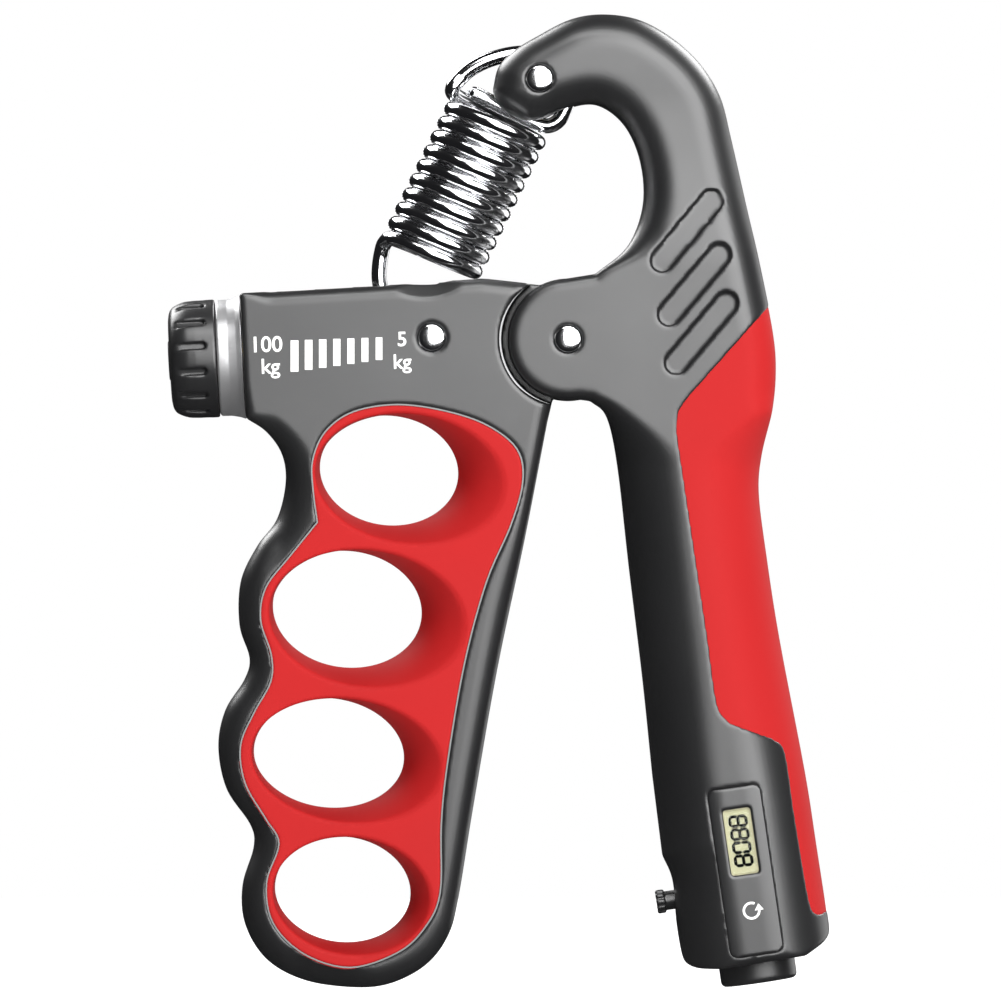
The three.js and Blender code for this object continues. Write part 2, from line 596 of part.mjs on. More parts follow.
// ---- Main spring, in world coordinates ----
function springPieces() {
  const bottom = new THREE.Vector3(COIL_BOTTOM[0], 0, COIL_BOTTOM[1]);
  const top = new THREE.Vector3(COIL_TOP[0], 0, COIL_TOP[1]);
  const along = top.clone().sub(bottom).normalize();
  const across = new THREE.Vector3(along.z, 0, -along.x);
  const deep = new THREE.Vector3(0, 1, 0);
  // The coil starts on its left side, in the handles' middle plane.
  const coil = (turn) => bottom.clone()
    .lerp(top, turn / COIL_TURNS)
    .addScaledVector(across, -COIL_RADIUS * Math.cos(2 * Math.PI * turn))
    .addScaledVector(deep, -COIL_RADIUS * Math.sin(2 * Math.PI * turn));
  const coilPoints = (from, to) => {
    const count = Math.round((to - from) * 10);
    return Array.from({ length: count + 1 }, (_, i) => coil(from + ((to - from) * i) / count));
  };
  const spot = ([x, z]) => new THREE.Vector3(x, 0, z);
  const hookRadius = 3.4;
  const hook = Array.from({ length: 9 }, (_, i) => {
    const turn = THREE.MathUtils.degToRad(30 - (i * 210) / 8);
    return spot([
      CARRIAGE_PIN[0] + hookRadius * Math.cos(turn),
      CARRIAGE_PIN[1] + hookRadius * Math.sin(turn),
    ]);
  });
  const leg = [[-20, 121.2], [-20.1, 124.2]].map(spot);
  const loop = [
    [-7.9, 152.2], [-6.2, 154.9], [-3.3, 156.9], [0.6, 158.3], [4.4, 158.8], [8.6, 158.4],
    [11.4, 155.8], [11.9, 152.2], [11.2, 149.2], [9.9, 147.1], [7.9, 146.4], [5.2, 147.4],
    [-4.2, 151.9],
  ].map(spot);
  const third = COIL_TURNS / 3;
  const gap = 0.03; // part of a turn between two lengths of the coil
  const section = (name, points, steps) =>
    meshOf(name, wire(points, WIRE, { steps, sides: 6 }), CHROME);
  return [
    section("spring_lower", [...hook, ...leg, ...coilPoints(0.04, third - gap)], 62),
    section("spring_middle", coilPoints(third, 2 * third - gap), 40),
    section("spring_upper", [...coilPoints(2 * third, COIL_TURNS + 0.6), ...loop], 92),
  ];
}

const anchorBush = meshOf("anchor_bush", cut(
  rod(ANCHOR, 3.2, -1.5, 1.5),
  rod(ANCHOR, PIN_RADIUS + GAP, -5, 5),
), NYLON);

const dynamometer = new THREE.Group();
dynamometer.add(
  ...palmHandle(),
  ...fingerHandle(),
  frameGroup(BARREL_FRAME, ...barrelParts(), ...knobParts(), ...carriageParts()),
  frameGroup(FOOT_FRAME, ...counterParts(), plungerParts(), ...resetParts()),
  anchorBush,
  ...springPieces(),
);

export default dynamometer;
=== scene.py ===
"""Adjustable hand dynamometer: the looks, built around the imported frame. Lengths are in mm until a
mesh is made, and MM turns them into metres."""
import itertools
import math

import bpy
import numpy as np
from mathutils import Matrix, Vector


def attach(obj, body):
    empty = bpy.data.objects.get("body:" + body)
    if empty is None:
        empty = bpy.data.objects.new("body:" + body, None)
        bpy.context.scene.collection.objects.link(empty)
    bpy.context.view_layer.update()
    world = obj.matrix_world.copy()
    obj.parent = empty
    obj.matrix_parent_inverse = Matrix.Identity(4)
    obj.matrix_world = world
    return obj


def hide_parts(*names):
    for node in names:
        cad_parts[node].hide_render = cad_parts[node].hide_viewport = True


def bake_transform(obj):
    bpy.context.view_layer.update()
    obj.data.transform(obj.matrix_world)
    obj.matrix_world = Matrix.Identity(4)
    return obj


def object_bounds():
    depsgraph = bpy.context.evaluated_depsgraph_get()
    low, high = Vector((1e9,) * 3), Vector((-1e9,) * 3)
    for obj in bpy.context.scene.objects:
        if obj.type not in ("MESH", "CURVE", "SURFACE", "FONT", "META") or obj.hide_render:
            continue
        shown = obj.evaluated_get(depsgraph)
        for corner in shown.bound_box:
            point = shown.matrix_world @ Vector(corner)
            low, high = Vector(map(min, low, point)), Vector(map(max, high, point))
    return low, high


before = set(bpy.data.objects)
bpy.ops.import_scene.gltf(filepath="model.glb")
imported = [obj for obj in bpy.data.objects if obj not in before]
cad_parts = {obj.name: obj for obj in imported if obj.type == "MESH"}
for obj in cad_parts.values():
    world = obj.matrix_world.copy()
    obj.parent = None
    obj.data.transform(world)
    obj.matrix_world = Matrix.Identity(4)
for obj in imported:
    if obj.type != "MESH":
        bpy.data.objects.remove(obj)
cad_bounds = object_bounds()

MM = 0.001
STEP = 0.38  # grid spacing of the moulded shells
FINE = 0.24  # grid spacing of small moulded pieces

# ---- Driving dimensions, as in the frame ----
PIVOT = (11.7, 110.0)
ANCHOR = (6.9, 154.2)
CARRIAGE_PIN = (-16.3, 117.2)
BARREL_PIN = (-11.4, 110.3)
FOOT = (44.3, 0.81)
BARREL_TILT = math.radians(3)
FOOT_TILT = math.radians(8.3)
BARREL = (PIVOT, BARREL_TILT)  # frames for placed(): their places are along, deep and up
HANDLE_FOOT = (FOOT, FOOT_TILT)
PALM_DEPTH, HOOK_DEPTH = 13.0, 9.5
FINGER_DEPTH = 12.0
LUG_RADIUS, LUG_SEAT = 10.4, 11.3
TONGUE_DEPTH, CHEEK_INNER = 4.0, 5.3
PIN_RADIUS = 2.25
SCREW_SEAT = (2.35, 2.4)  # radius and depth of a case screw's seat
PARTING = 0.06  # each shell's distance from the middle plane
MARGIN = 0.8  # how far a half's grid runs on past the middle plane
HOLE_TILT = math.radians(-7)
HOLE_THROAT = 2.5
FINGER_HOLES = (  # place and half sizes of each hole, and of its flare on the face
    ((-18.7, 87.8, 11.8, 9.3), (-14.9, 86.3, 16.4, 11.1)),
    ((-25.8, 64.2, 12.7, 9.9), (-22.1, 62.6, 16.9, 11.7)),
    ((-29.0, 39.8, 12.9, 9.3), (-25.5, 38.6, 16.4, 10.5)),
    ((-26.6, 16.6, 11.6, 9.0), (-24.8, 15.7, 13.5, 10.0)),
)
GRIP_GROOVES = (
    ((27.6, 123.3), (36.0, 133.4)),
    ((28.8, 114.2), (37.3, 124.3)),
    ((30.0, 106.0), (38.5, 116.1)),
)
PALM_SCREWS = ((27.5, 154.0), (23.6, 112.5), (26.8, 94.5), (31.5, 42.0))
FINGER_SCREWS = ((-38.5, 99.0), (3.3, 97.3), (-3.6, 52.0))
WIRE, COIL_RADIUS, COIL_TURNS = 2.6, 7.85, 9.25
COIL_BOTTOM, COIL_TOP = (-11.7, 123.9), (-0.7, 146.4)
PLUNGER_HEIGHT = 16.0
INK = 0.05  # thickness of the print


# ---- Outlines ----
def spline(points, per=6):
    """A smooth curve through points, as a list of places."""
    points = [np.array(p, float) for p in points]
    ends = [2 * points[0] - points[1], *points, 2 * points[-1] - points[-2]]
    out = []
    for a, b, c, d in zip(ends, ends[1:], ends[2:], ends[3:]):
        for i in range(per):
            t = i / per
            out.append(0.5 * (2 * b + (c - a) * t + (2 * a - 5 * b + 4 * c - d) * t**2
                              + (3 * b - a - 3 * c + d) * t**3))
    return out + [points[-1]]


def arc(centre, radius, start, end, count=48):
    turns = np.linspace(start, end, count)
    return [np.array(centre) + radius * np.array((math.cos(t), math.sin(t))) for t in turns]


def palm_outline(foot=True):
    """The palm handle's outline, or the same with its sides run on past the foot."""
    sole = [(55.9, 13.5), (56.3, 10.1), (55.3, 8.0), (52.0, 5.6)] if foot else [(59.5, -12)]
    toe = [(37.4, 3.3), (33.2, 3.5), (31.0, 5.2), (30.0, 10.0)] if foot else [(34.5, -12), (30.4, 9.0)]
    return [
        *spline([
            (-1.2, 152.5), (-0.2, 156.4), (2.6, 159.3), (6.3, 161.6), (12.0, 164.5), (17.5, 165.4),
            (23.7, 164.5), (29.4, 161.4), (34.2, 157.0), (37.7, 151.3), (39.6, 144.0), (42.2, 132.4),
            (44.3, 123.3), (46.7, 111.2), (47.2, 104.5), (46.6, 98.0), (44.9, 90.5), (44.4, 84.0),
            (45.7, 73.4), (47.9, 59.3), (52.2, 36.8), (54.2, 24.1), *sole]),
        *spline([*toe, (29.4, 17.9), (27.6, 22.4)]),
        *spline([(25.9, 36.0), (24.2, 52.5), (21.9, 71.4), (20.0, 88.2), (18.2, 96.8), (15.5, 99.5)]),
        *arc(PIVOT, LUG_RADIUS, -1.396, -4.65),
        *spline([
            (16.2, 121.2), (21.6, 125.8), (24.3, 132.8), (23.9, 140.2), (21.2, 146.4), (16.6, 149.8),
            (11.5, 149.2), (7.6, 147.5), (4.6, 147.1), (1.4, 148.4), (-0.6, 150.3), (-1.2, 152.5)]),
    ]


def grip_outline():
    """The red palm grip's edge on the handle's face, closed outside the handle."""
    return [
        (60, 122), (51.5, 122), (31.9, 99.9),
        *spline([(31.9, 99.9), (30.4, 97.4), (30.2, 94.0)]),
        *spline([(35.4, 59.3), (37.0, 48.2), (39.0, 45.1)]),
        *spline([(46.4, 42.4), (48.5, 40.0), (50.1, 29.4), (52.6, 14.8), (54.0, 12.5)]),
        (60, 14.5),
    ]


def finger_outline():
    return [
        (-43.9, 117.8), (-42.8, 96.6),
        *spline([
            (-42.8, 96.6), (-39.4, 94.3), (-36.8, 90.5), (-36.2, 85.7), (-37.7, 79.5), (-41.0, 75.0),
            (-43.8, 69.0), (-44.0, 61.5), (-42.3, 56.0), (-43.2, 52.3), (-46.4, 47.2), (-47.6, 41.0),
            (-46.2, 33.8), (-42.2, 27.8), (-41.6, 24.0), (-43.5, 17.5), (-43.1, 11.0), (-39.6, 5.1),
            (-33.5, 1.5), (-26.0, 0.2), (-18.9, 0.7), (-12.5, 3.9), (-8.6, 9.0), (-6.8, 15.8),
            (-4.4, 30.5), (-0.3, 54.0), (4.4, 76.3), (8.2, 96.0)]),
        *arc(PIVOT, LUG_RADIUS, -1.82, 2.04),
        (-3.2, 120.4), (-19.8, 119.2),
    ]


def insert_outline():
    return spline([
        (-30.7, 79.0), (-31.4, 84.3), (-31.5, 89.5), (-29.3, 94.4), (-24.6, 97.7), (-17.2, 98.9),
        (-9.0, 97.8), (-2.0, 95.4), (3.0, 91.4), (4.0, 86.0), (2.0, 78.6), (-2.2, 68.8),
        (-5.9, 55.0), (-8.7, 38.6), (-9.8, 28.0), (-10.0, 16.3), (-12.6, 10.4), (-17.2, 6.2),
        (-25.2, 3.7), (-33.0, 6.0), (-38.2, 11.2), (-39.3, 18.0), (-37.2, 24.6), (-39.4, 28.8),
        (-42.9, 34.8), (-43.7, 41.2), (-41.4, 46.8), (-38.6, 52.0), (-38.5, 56.6), (-40.3, 62.5),
        (-39.4, 68.0), (-35.4, 73.2), (-30.7, 79.0)])


# ---- Distance fields: negative inside, in mm ----
class Grid:
    """A box of evenly spaced points. Its axes, x, y and z, broadcast against each other."""

    def __init__(self, low, high, step):
        self.low, self.step = np.array(low, float), step
        counts = [int(math.ceil((b - a) / step)) + 1 for a, b in zip(low, high)]
        axes = [a + step * np.arange(n) for a, n in zip(low, counts)]
        self.axes = [axis.reshape([-1 if i == k else 1 for k in range(3)]).astype(np.float32)
                     for i, axis in enumerate(axes)]


def half_grid(low, high, depth, side):
    """A grid over one half of a handle. low and high are in x and z, and side is -1 at the front."""
    near, far = (-depth, MARGIN) if side < 0 else (-MARGIN, depth)
    return Grid((low[0], near, low[1]), (high[0], far, high[1]), STEP)


def tilted(x, z, origin, angle):
    """Coordinates along and across a frame in the X-Z plane that is turned by angle."""
    dx, dz = x - origin[0], z - origin[1]
    cos, sin = math.cos(angle), math.sin(angle)
    return dx * cos + dz * sin, -dx * sin + dz * cos


def polygon(points, x, z):
    """Signed distance from a closed outline."""
    points = np.array([p for i, p in enumerate(points) if np.hypot(*(np.array(p) - points[i - 1])) > 1e-4])
    x, z = np.broadcast_arrays(x, z)
    nearest = np.full(x.shape, 1e9, np.float32)
    inside = np.zeros(x.shape, bool)
    for (ax, az), (bx, bz) in zip(points, np.roll(points, -1, 0)):
        ex, ez = bx - ax, bz - az
        wx, wz = x - ax, z - az
        t = np.clip((wx * ex + wz * ez) / (ex * ex + ez * ez), 0, 1)
        nearest = np.minimum(nearest, (wx - ex * t) ** 2 + (wz - ez * t) ** 2)
        if abs(ez) > 1e-9:
            crosses = (az > z) != (bz > z)
            inside ^= crosses & (wx < ex * wz / ez)
    return np.where(inside, -1, 1) * np.sqrt(nearest)


def ellipse(x, z, a, b):
    """Distance from an ellipse of half sizes a and b, exact near its edge."""
    k = np.hypot(x / a, z / b)
    slope = np.hypot(x / a**2, z / b**2)
    return k * (k - 1) / np.maximum(slope, 1e-6)


def rounded_plate(flat, depth, half, radius):
    """An outline's distance made into a plate of half thickness half, with rolled edges."""
    across, deep = flat + radius, depth - half + radius
    outside = np.hypot(np.maximum(across, 0), np.maximum(deep, 0))
    return np.minimum(np.maximum(across, deep), 0) + outside - radius


def cuboid(a, b, c, low, high, radius=0.4):
    """A box in any three coordinates, with rounded edges."""
    parts = [np.abs(v - (h + l) / 2) - (h - l) / 2 + radius for v, l, h in zip((a, b, c), low, high)]
    outside = np.sqrt(sum(np.maximum(p, 0) ** 2 for p in parts))
    return np.minimum(np.maximum(np.maximum(parts[0], parts[1]), parts[2]), 0) + outside - radius


def capsule(x, z, start, end, radius):
    ex, ez = end[0] - start[0], end[1] - start[1]
    t = np.clip(((x - start[0]) * ex + (z - start[1]) * ez) / (ex * ex + ez * ez), 0, 1)
    return np.hypot(x - start[0] - ex * t, z - start[1] - ez * t) - radius


def smooth_step(t):
    t = np.clip(t, 0, 1)
    return t * t * (3 - 2 * t)


def smooth_max(a, b, blend):
    """What two forms share, with the edge between them rounded."""
    gap = np.maximum(blend - np.abs(a - b), 0) / blend
    return np.maximum(a, b) + gap * gap * blend / 4


def carve(field, tool, blend):
    """The field less the tool, with the edge between them rounded."""
    return smooth_max(field, -tool, blend)


def surface(field, grid):
    """Corners and quads of the surface where field is zero: one corner in each cell that it crosses."""
    size = [n - 1 for n in field.shape]

    def moved(values, offset):
        return values[tuple(slice(o, o + n) for o, n in zip(offset, size))]

    inside = field < 0
    offsets = list(itertools.product((0, 1), repeat=3))
    count = sum(moved(inside, offset).astype(np.int8) for offset in offsets)
    active = (count > 0) & (count < 8)
    cells = np.argwhere(active)
    number = np.full(active.shape, -1, np.int64)
    number[active] = np.arange(len(cells))
    total, hits = np.zeros((len(cells), 3)), np.zeros(len(cells))
    for start, end in itertools.combinations(offsets, 2):
        way = np.subtract(end, start)
        if np.abs(way).sum() != 1:
            continue
        a, b = moved(field, start)[active], moved(field, end)[active]
        crosses = (a < 0) != (b < 0)
        t = np.where(crosses, a / np.where(crosses, a - b, 1), 0)
        total += np.where(crosses[:, None], start + t[:, None] * way, 0)
        hits += crosses
    corners = grid.low + grid.step * (cells + total / hits[:, None])
    quads = []
    for axis in range(3):
        across = [(axis + 1) % 3, (axis + 2) % 3]
        first = moved(inside, (0, 0, 0))
        edges = np.argwhere(first != moved(inside, np.eye(3, dtype=int)[axis]))
        edges = edges[(edges[:, across] > 0).all(1)]
        quad = []
        for shift in ((1, 1), (0, 1), (0, 0), (1, 0)):
            cell = edges.copy()
            cell[:, across] -= shift
            quad.append(number[tuple(cell.T)])
        quad = np.stack(quad, 1)
        quads.append(np.where(first[tuple(edges.T)][:, None], quad, quad[:, ::-1]))
    return corners, np.concatenate(quads)


# ---- Blender meshes ----
def mesh_piece(name, corners, faces, material, crease=None, smooth=True):
    """A mesh from places in mm. Edges sharper than crease, in degrees, stay sharp."""
    mesh = bpy.data.meshes.new(name)
    mesh.from_pydata([tuple(c) for c in np.asarray(corners) * MM], [], [tuple(f) for f in faces])
    mesh.validate()
    mesh.update()
    if smooth:
        mesh.shade_smooth()
    if crease:
        mesh.set_sharp_from_angle(angle=math.radians(crease))
    mesh.materials.append(material)
    piece = bpy.data.objects.new(name, mesh)
    bpy.context.scene.collection.objects.link(piece)
    return piece


def field_piece(name, field, grid, material, place=None):
    """The surface of a field, in the object's frame or in the tilted frame that place gives."""
    corners, quads = surface(field.astype(np.float32), grid)
    corners = placed(corners, *place) if place else corners
    return mesh_piece(name, corners, quads.tolist(), material)


def settle(piece, body, slot, *stands_for):
    """Give a piece its body and hide the frame nodes that it stands for. slot is not used."""
    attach(piece, body)
    if stands_for:
        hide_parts(*stands_for)
    return piece


def placed(points, origin, angle):
    """Points of a tilted frame, (along, deep, up), in the object's frame."""
    points = np.atleast_2d(np.asarray(points, float))
    cos, sin = math.cos(angle), math.sin(angle)
    x = origin[0] + points[:, 0] * cos - points[:, 2] * sin
    z = origin[1] + points[:, 0] * sin + points[:, 2] * cos
    return np.stack((x, points[:, 1], z), 1)


def turned(profile, axis, sides):
    """Corners and faces of a turned solid. profile is (along, radius), from tip to tip or round a ring."""
    corners, rings = [], []
    for along, radius in profile:
        count = 1 if radius < 1e-6 else sides
        rings.append([len(corners) + i % count for i in range(sides)])
        turns = [2 * math.pi * i / sides for i in range(count)]
        corners += [(along, radius * math.cos(t), radius * math.sin(t)) for t in turns]
    if len(set(rings[0])) > 1:
        rings.append(rings[0])
    faces = [tuple(dict.fromkeys((a[i - 1], a[i], b[i], b[i - 1])))  # a tip's corner counts once
             for a, b in zip(rings, rings[1:]) for i in range(sides)]
    corners = np.array(corners)
    if axis == "y":
        corners = corners[:, [1, 0, 2]]
        faces = [f[::-1] for f in faces]
    return corners, faces


def eased(profile, radius=0.3, steps=3):
    """A profile with its corners rounded off."""
    out = [profile[0]]
    for before, here, after in zip(profile, profile[1:], profile[2:]):
        before, here, after = map(np.array, (before, here, after))
        reach = [min(radius, np.linalg.norm(p - here) * 0.45) for p in (before, after)]
        start = here + (before - here) / max(np.linalg.norm(before - here), 1e-9) * reach[0]
        end = here + (after - here) / max(np.linalg.norm(after - here), 1e-9) * reach[1]
        for i in range(steps + 1):
            t = i / steps
            out.append(tuple((1 - t) ** 2 * start + 2 * t * (1 - t) * here + t * t * end))
    return out + [profile[-1]]


def tube_faces(rings, sides):
    """Faces of a tube whose corners lie ring after ring, with a cap on each end."""
    faces = []
    for k in range(rings - 1):
        for i in range(sides):
            a, b = k * sides + i, k * sides + (i + 1) % sides
            faces.append((a, b, b + sides, a + sides))
    last = (rings - 1) * sides
    return faces + [tuple(range(sides))[::-1], tuple(range(last, last + sides))]


def wire_mesh(path, diameter, sides, before=None, after=None):
    """Corners and faces of round wire along path, with domed ends. The points before and after it,
    where the wire goes on in another piece, only give the ends their direction."""
    path = np.array(path, float)
    before = 2 * path[0] - path[1] if before is None else before
    after = 2 * path[-1] - path[-2] if after is None else after
    ways = np.gradient(np.vstack((before, path, after)), axis=0)[1:-1]
    ways /= np.linalg.norm(ways, axis=1)[:, None]
    normal = np.cross(ways[0], (0.3, 0.9, 0.2))
    rings = []
    for place, way in zip(path, ways):
        normal = normal - way * normal.dot(way)
        normal /= np.linalg.norm(normal)
        rings.append((place, normal, np.cross(way, normal), diameter / 2))
    domes = []
    for (place, n, s, r), way in ((rings[0], -ways[0]), (rings[-1], ways[-1])):
        domes.append([(place + way * 0.93 * r * math.sin(t), n, s, 0.93 * r * math.cos(t))
                      for t in np.radians((0, 30, 60, 82))])
    rings = domes[0][::-1] + rings + domes[1]
    turns = [2 * math.pi * i / sides for i in range(sides)]
    corners = [place + r * (math.cos(t) * n + math.sin(t) * s) for place, n, s, r in rings for t in turns]
    return corners, tube_faces(len(rings), sides)


# ---- Materials ----
class Nodes:
    """Short names for building a material's node tree."""

    def __init__(self, name, color, roughness, metallic=0.0, **settings):
        self.material = bpy.data.materials.new(name)
        self.material.use_nodes = True
        self.tree = self.material.node_tree
        self.shader = self.tree.nodes["Principled BSDF"]
        self.fill(self.shader, Base_Color=(*color, 1), Roughness=roughness, Metallic=metallic, **settings)
        self.place = self.tree.nodes.new("ShaderNodeTexCoord").outputs["Object"]

    def fill(self, node, **inputs):
        """Set each named input, or link it when it is given another node's output."""
        for key, value in inputs.items():
            socket = node.inputs[key.replace("_", " ")]
            if isinstance(value, bpy.types.NodeSocket):
                self.tree.links.new(value, socket)
            else:
                socket.default_value = value

    def add(self, kind, **inputs):
        node = self.tree.nodes.new("ShaderNode" + kind)
        self.fill(node, **inputs)
        return node

    def noise(self, scale, detail, roughness=0.5, stretch=None):
        place = self.place
        if stretch:
            place = self.add("Mapping", Scale=stretch, Vector=place).outputs["Vector"]
        node = self.add("TexNoise", Scale=scale, Detail=detail, Roughness=roughness, Vector=place)
        return node.outputs["Fac"]

    def tint(self, value, dark, light):
        node = self.add("Mix")
        node.data_type = "RGBA"
        self.fill(node, A=(*dark, 1), B=(*light, 1), Factor=value)
        self.fill(self.shader, Base_Color=node.outputs["Result"])

    def rough(self, value, low, high):
        node = self.add("MapRange", From_Min=0.3, From_Max=0.7, To_Min=low, To_Max=high, Value=value)
        self.fill(self.shader, Roughness=node.outputs["Result"])

    def bump(self, value, distance, strength):
        node = self.add("Bump", Strength=strength, Distance=distance, Height=value)
        self.fill(self.shader, Normal=node.outputs["Normal"])


def moulded_black(name, low, high, grain=0.000008):
    """Spark-textured ABS: a fine grain, and a slow drift in gloss where hands polish it."""
    shade = 0.009
    nodes = Nodes(name, (shade,) * 3, low, Specular_IOR_Level=0.9)
    slow = nodes.noise(38, 3)
    nodes.tint(slow, [shade * c for c in (0.9, 0.91, 0.97)], [shade * c for c in (1.12, 1.13, 1.18)])
    nodes.rough(slow, low, high)
    nodes.bump(nodes.noise(5200, 2), grain, 0.5)
    return nodes.material


def soft_red():
    """Soft-touch rubber with a very fine skin texture."""
    nodes = Nodes("red_soft_touch", (0.33, 0.0075, 0.008), 0.66, Specular_IOR_Level=0.16)
    slow = nodes.noise(45, 3)
    nodes.tint(slow, (0.3069, 0.006975, 0.00744), (0.3465, 0.009375, 0.01))
    nodes.rough(slow, 0.66, 0.74)
    nodes.bump(nodes.noise(4200, 2), 0.00001, 0.45)
    return nodes.material


def polished():
    """Chrome plate with a faint haze."""
    color = (0.86, 0.865, 0.88)
    nodes = Nodes("chrome_plate", color, 0.1, 1.0)
    haze = nodes.noise(260, 4, 0.6)
    nodes.rough(haze, 0.1, 0.15)
    nodes.tint(haze, [c * 0.94 for c in color], color)
    return nodes.material


def plated(name, color=(0.56, 0.57, 0.58), low=0.22, high=0.4, stretch=(1, 1, 0.05), metallic=1.0):
    """Drawn or turned metal with a brushed run."""
    nodes = Nodes(name, color, low, metallic)
    run = nodes.noise(1400, 3, 0.6, stretch)
    nodes.rough(run, low, high)
    nodes.tint(nodes.noise(150, 3), [c * 0.86 for c in color], color)
    nodes.bump(run, 0.00001, 0.3)
    return nodes.material


def plain_moulded(name, color, low=0.35, high=0.5, grain=0.00001, **settings):
    """A plain moulding, film or ink with a slight grain."""
    nodes = Nodes(name, color, low, **settings)
    slow = nodes.noise(90, 3)
    nodes.tint(slow, [c * 0.9 for c in color], color)
    nodes.rough(slow, low, high)
    nodes.bump(nodes.noise(3600, 2), grain, 0.4)
    return nodes.material


def circuit_board():
    """Green solder mask with lighter tracks."""
    nodes = Nodes("circuit_board_mask", (0.02, 0.16, 0.07), 0.3)
    tracks = nodes.add("TexBrick", Scale=420, Mortar_Size=0.08, Vector=nodes.place)
    nodes.tint(tracks.outputs["Fac"], (0.016, 0.12, 0.05), (0.05, 0.27, 0.12))
    nodes.rough(nodes.noise(800, 3), 0.28, 0.42)
    return nodes.material


BLACK = moulded_black("black_abs_satin", 0.34, 0.4)
TRIM = moulded_black("black_abs_smooth", 0.3, 0.34, 0.000004)
KNOB_BLACK = moulded_black("knob_black", 0.32, 0.4)
RED = soft_red()
CHROME = polished()
COLLAR = plated("satin_chrome", (0.8, 0.8, 0.81), 0.36, 0.44, (0.05, 1, 1), 0.9)
STEEL = plated("zinc_steel")
BRASS = plated("turned_brass", (0.72, 0.52, 0.22), 0.2, 0.34)
NYLON = plain_moulded("natural_nylon", (0.78, 0.76, 0.68), Subsurface_Weight=0.15,
                      Subsurface_Scale=0.002)
PRINT = plain_moulded("white_print", (0.9, 0.9, 0.88), 0.4, 0.55)
# light grey standing in for the light caught along the insert's seam: a painted highlight
SEAM_HIGHLIGHT = plain_moulded("painted_seam_highlight", (0.16, 0.165, 0.165), 0.3, 0.45)
# pale grey standing in for the light on the edge of the lug's seat: a painted highlight
RIM_HIGHLIGHT = plain_moulded("painted_rim_highlight", (0.3, 0.3, 0.305), 0.2, 0.3)
LCD_BACK = plain_moulded("lcd_reflector", (0.40, 0.375, 0.22), 0.3, 0.4, 0.000003)
LCD_INK = plain_moulded("lcd_segment", (0.004, 0.004, 0.0035), 0.6, 0.7, Specular_IOR_Level=0.05)
BOARD = circuit_board()


# ---- Camera, light and floor ----
def studio():
    """A long lens straight in front, a large key light, and lights that only the edges catch."""
    scene = bpy.context.scene
    centre = Vector((0.00026, 0, 0.0827))
    view_width, distance = 0.1702, 2.6
    camera = bpy.data.cameras.new("camera")
    camera.lens = 36 * distance / view_width
    camera.sensor_width = 36
    camera.clip_start, camera.clip_end = 0.05, 50
    eye = bpy.data.objects.new("camera", camera)
    eye.location = centre + Vector((0, -distance, 0))
    eye.rotation_euler = (math.radians(90), 0, 0)
    scene.collection.objects.link(eye)
    scene.camera = eye

    def softbox(name, place, size, power):
        light = bpy.data.lights.new(name, "AREA")
        light.shape = "RECTANGLE"
        light.size, light.size_y = size
        light.energy = power
        box = bpy.data.objects.new(name, light)
        box.location = place
        box.rotation_euler = (middle - Vector(place)).to_track_quat("-Z", "Y").to_euler()
        scene.collection.objects.link(box)

    middle = Vector((0, 0, 0.085))
    softbox("front_key", (0.25, -0.60, 0.30), (0.70, 0.62), 9.0)
    softbox("top_box", (0.02, -0.36, 0.62), (0.5, 0.2), 2.2)
    softbox("back_left", (-0.45, 0.50, 0.62), (0.5, 0.4), 6.0)
    softbox("back_right", (0.50, 0.50, 0.62), (0.5, 0.4), 6.5)
    softbox("back_low", (0.64, 0.60, 0.10), (0.6, 0.5), 1.3)

    # the background is white to the camera, and a dark room to the surfaces
    world = bpy.data.worlds.new("studio")
    scene.world = world
    world.use_nodes = True
    tree = world.node_tree
    background = tree.nodes["Background"]
    paths = tree.nodes.new("ShaderNodeLightPath")
    shade = tree.nodes.new("ShaderNodeMix")
    shade.data_type = "RGBA"
    shade.inputs["A"].default_value = (0.012, 0.012, 0.013, 1)
    shade.inputs["B"].default_value = (1.0, 1.0, 1.0, 1)
    tree.links.new(paths.outputs["Is Camera Ray"], shade.inputs["Factor"])
    tree.links.new(shade.outputs["Result"], background.inputs["Color"])
    scene.view_settings.view_transform = "Standard"

    # the floor lies under the lowest place that the finger handle reaches when it is squeezed
    reach, floor_z = 0.9, cad_bounds[0][2] - 0.0085
    corners = [(x * reach, y * reach, floor_z) for x, y in ((-1, -1), (1, -1), (1, 1), (-1, 1))]
    nodes = Nodes("pale_floor", (0.3, 0.3, 0.3), 0.7, Emission_Color=(1, 1, 1, 1), Emission_Strength=1.0)
    nodes.rough(nodes.noise(6, 2), 0.55, 0.7)
    floor = mesh_piece("pale_floor", np.array(corners) / MM, [(0, 1, 2, 3)], nodes.material, smooth=False)
    floor.visible_glossy = False  # the plastics and chrome mirror the dark room, not the floor


studio()


# ---- Palm handle ----
def palm_depth(z):
    """Half the handle's thickness, which thins towards the hook's nose."""
    return PALM_DEPTH + (HOOK_DEPTH - PALM_DEPTH) * smooth_step((z - 122) / 30)


def palm_block(grid):
    """The handle's outer form with its grip line's distance. The handle is round in section below the
    lug, and its hook's edges roll over less."""
    x, y, z = grid.axes
    depth = np.abs(y)
    hook = smooth_step((np.hypot(x - PIVOT[0], z - PIVOT[1]) - 12) / 12) * smooth_step((z - 92) / 10)
    plate = rounded_plate(polygon(palm_outline(), x, z), depth, palm_depth(z), 2.2 + 4.0 * hook)
    roundness = 0.5 + 11.5 * smooth_step((104 - z) / 16)
    crown = rounded_plate(polygon(palm_outline(False), x, z), depth, palm_depth(z), roundness)
    return smooth_max(plate, crown, 0.6), polygon(grip_outline(), x, z)


def shell_piece(handle, side, field, grid):
    face = "front" if side < 0 else "back"
    piece = field_piece(f"{handle}_case_{face}", field, grid, BLACK)
    return settle(piece, f"{handle}_handle", "black_abs", f"{handle}_shell_{face}")


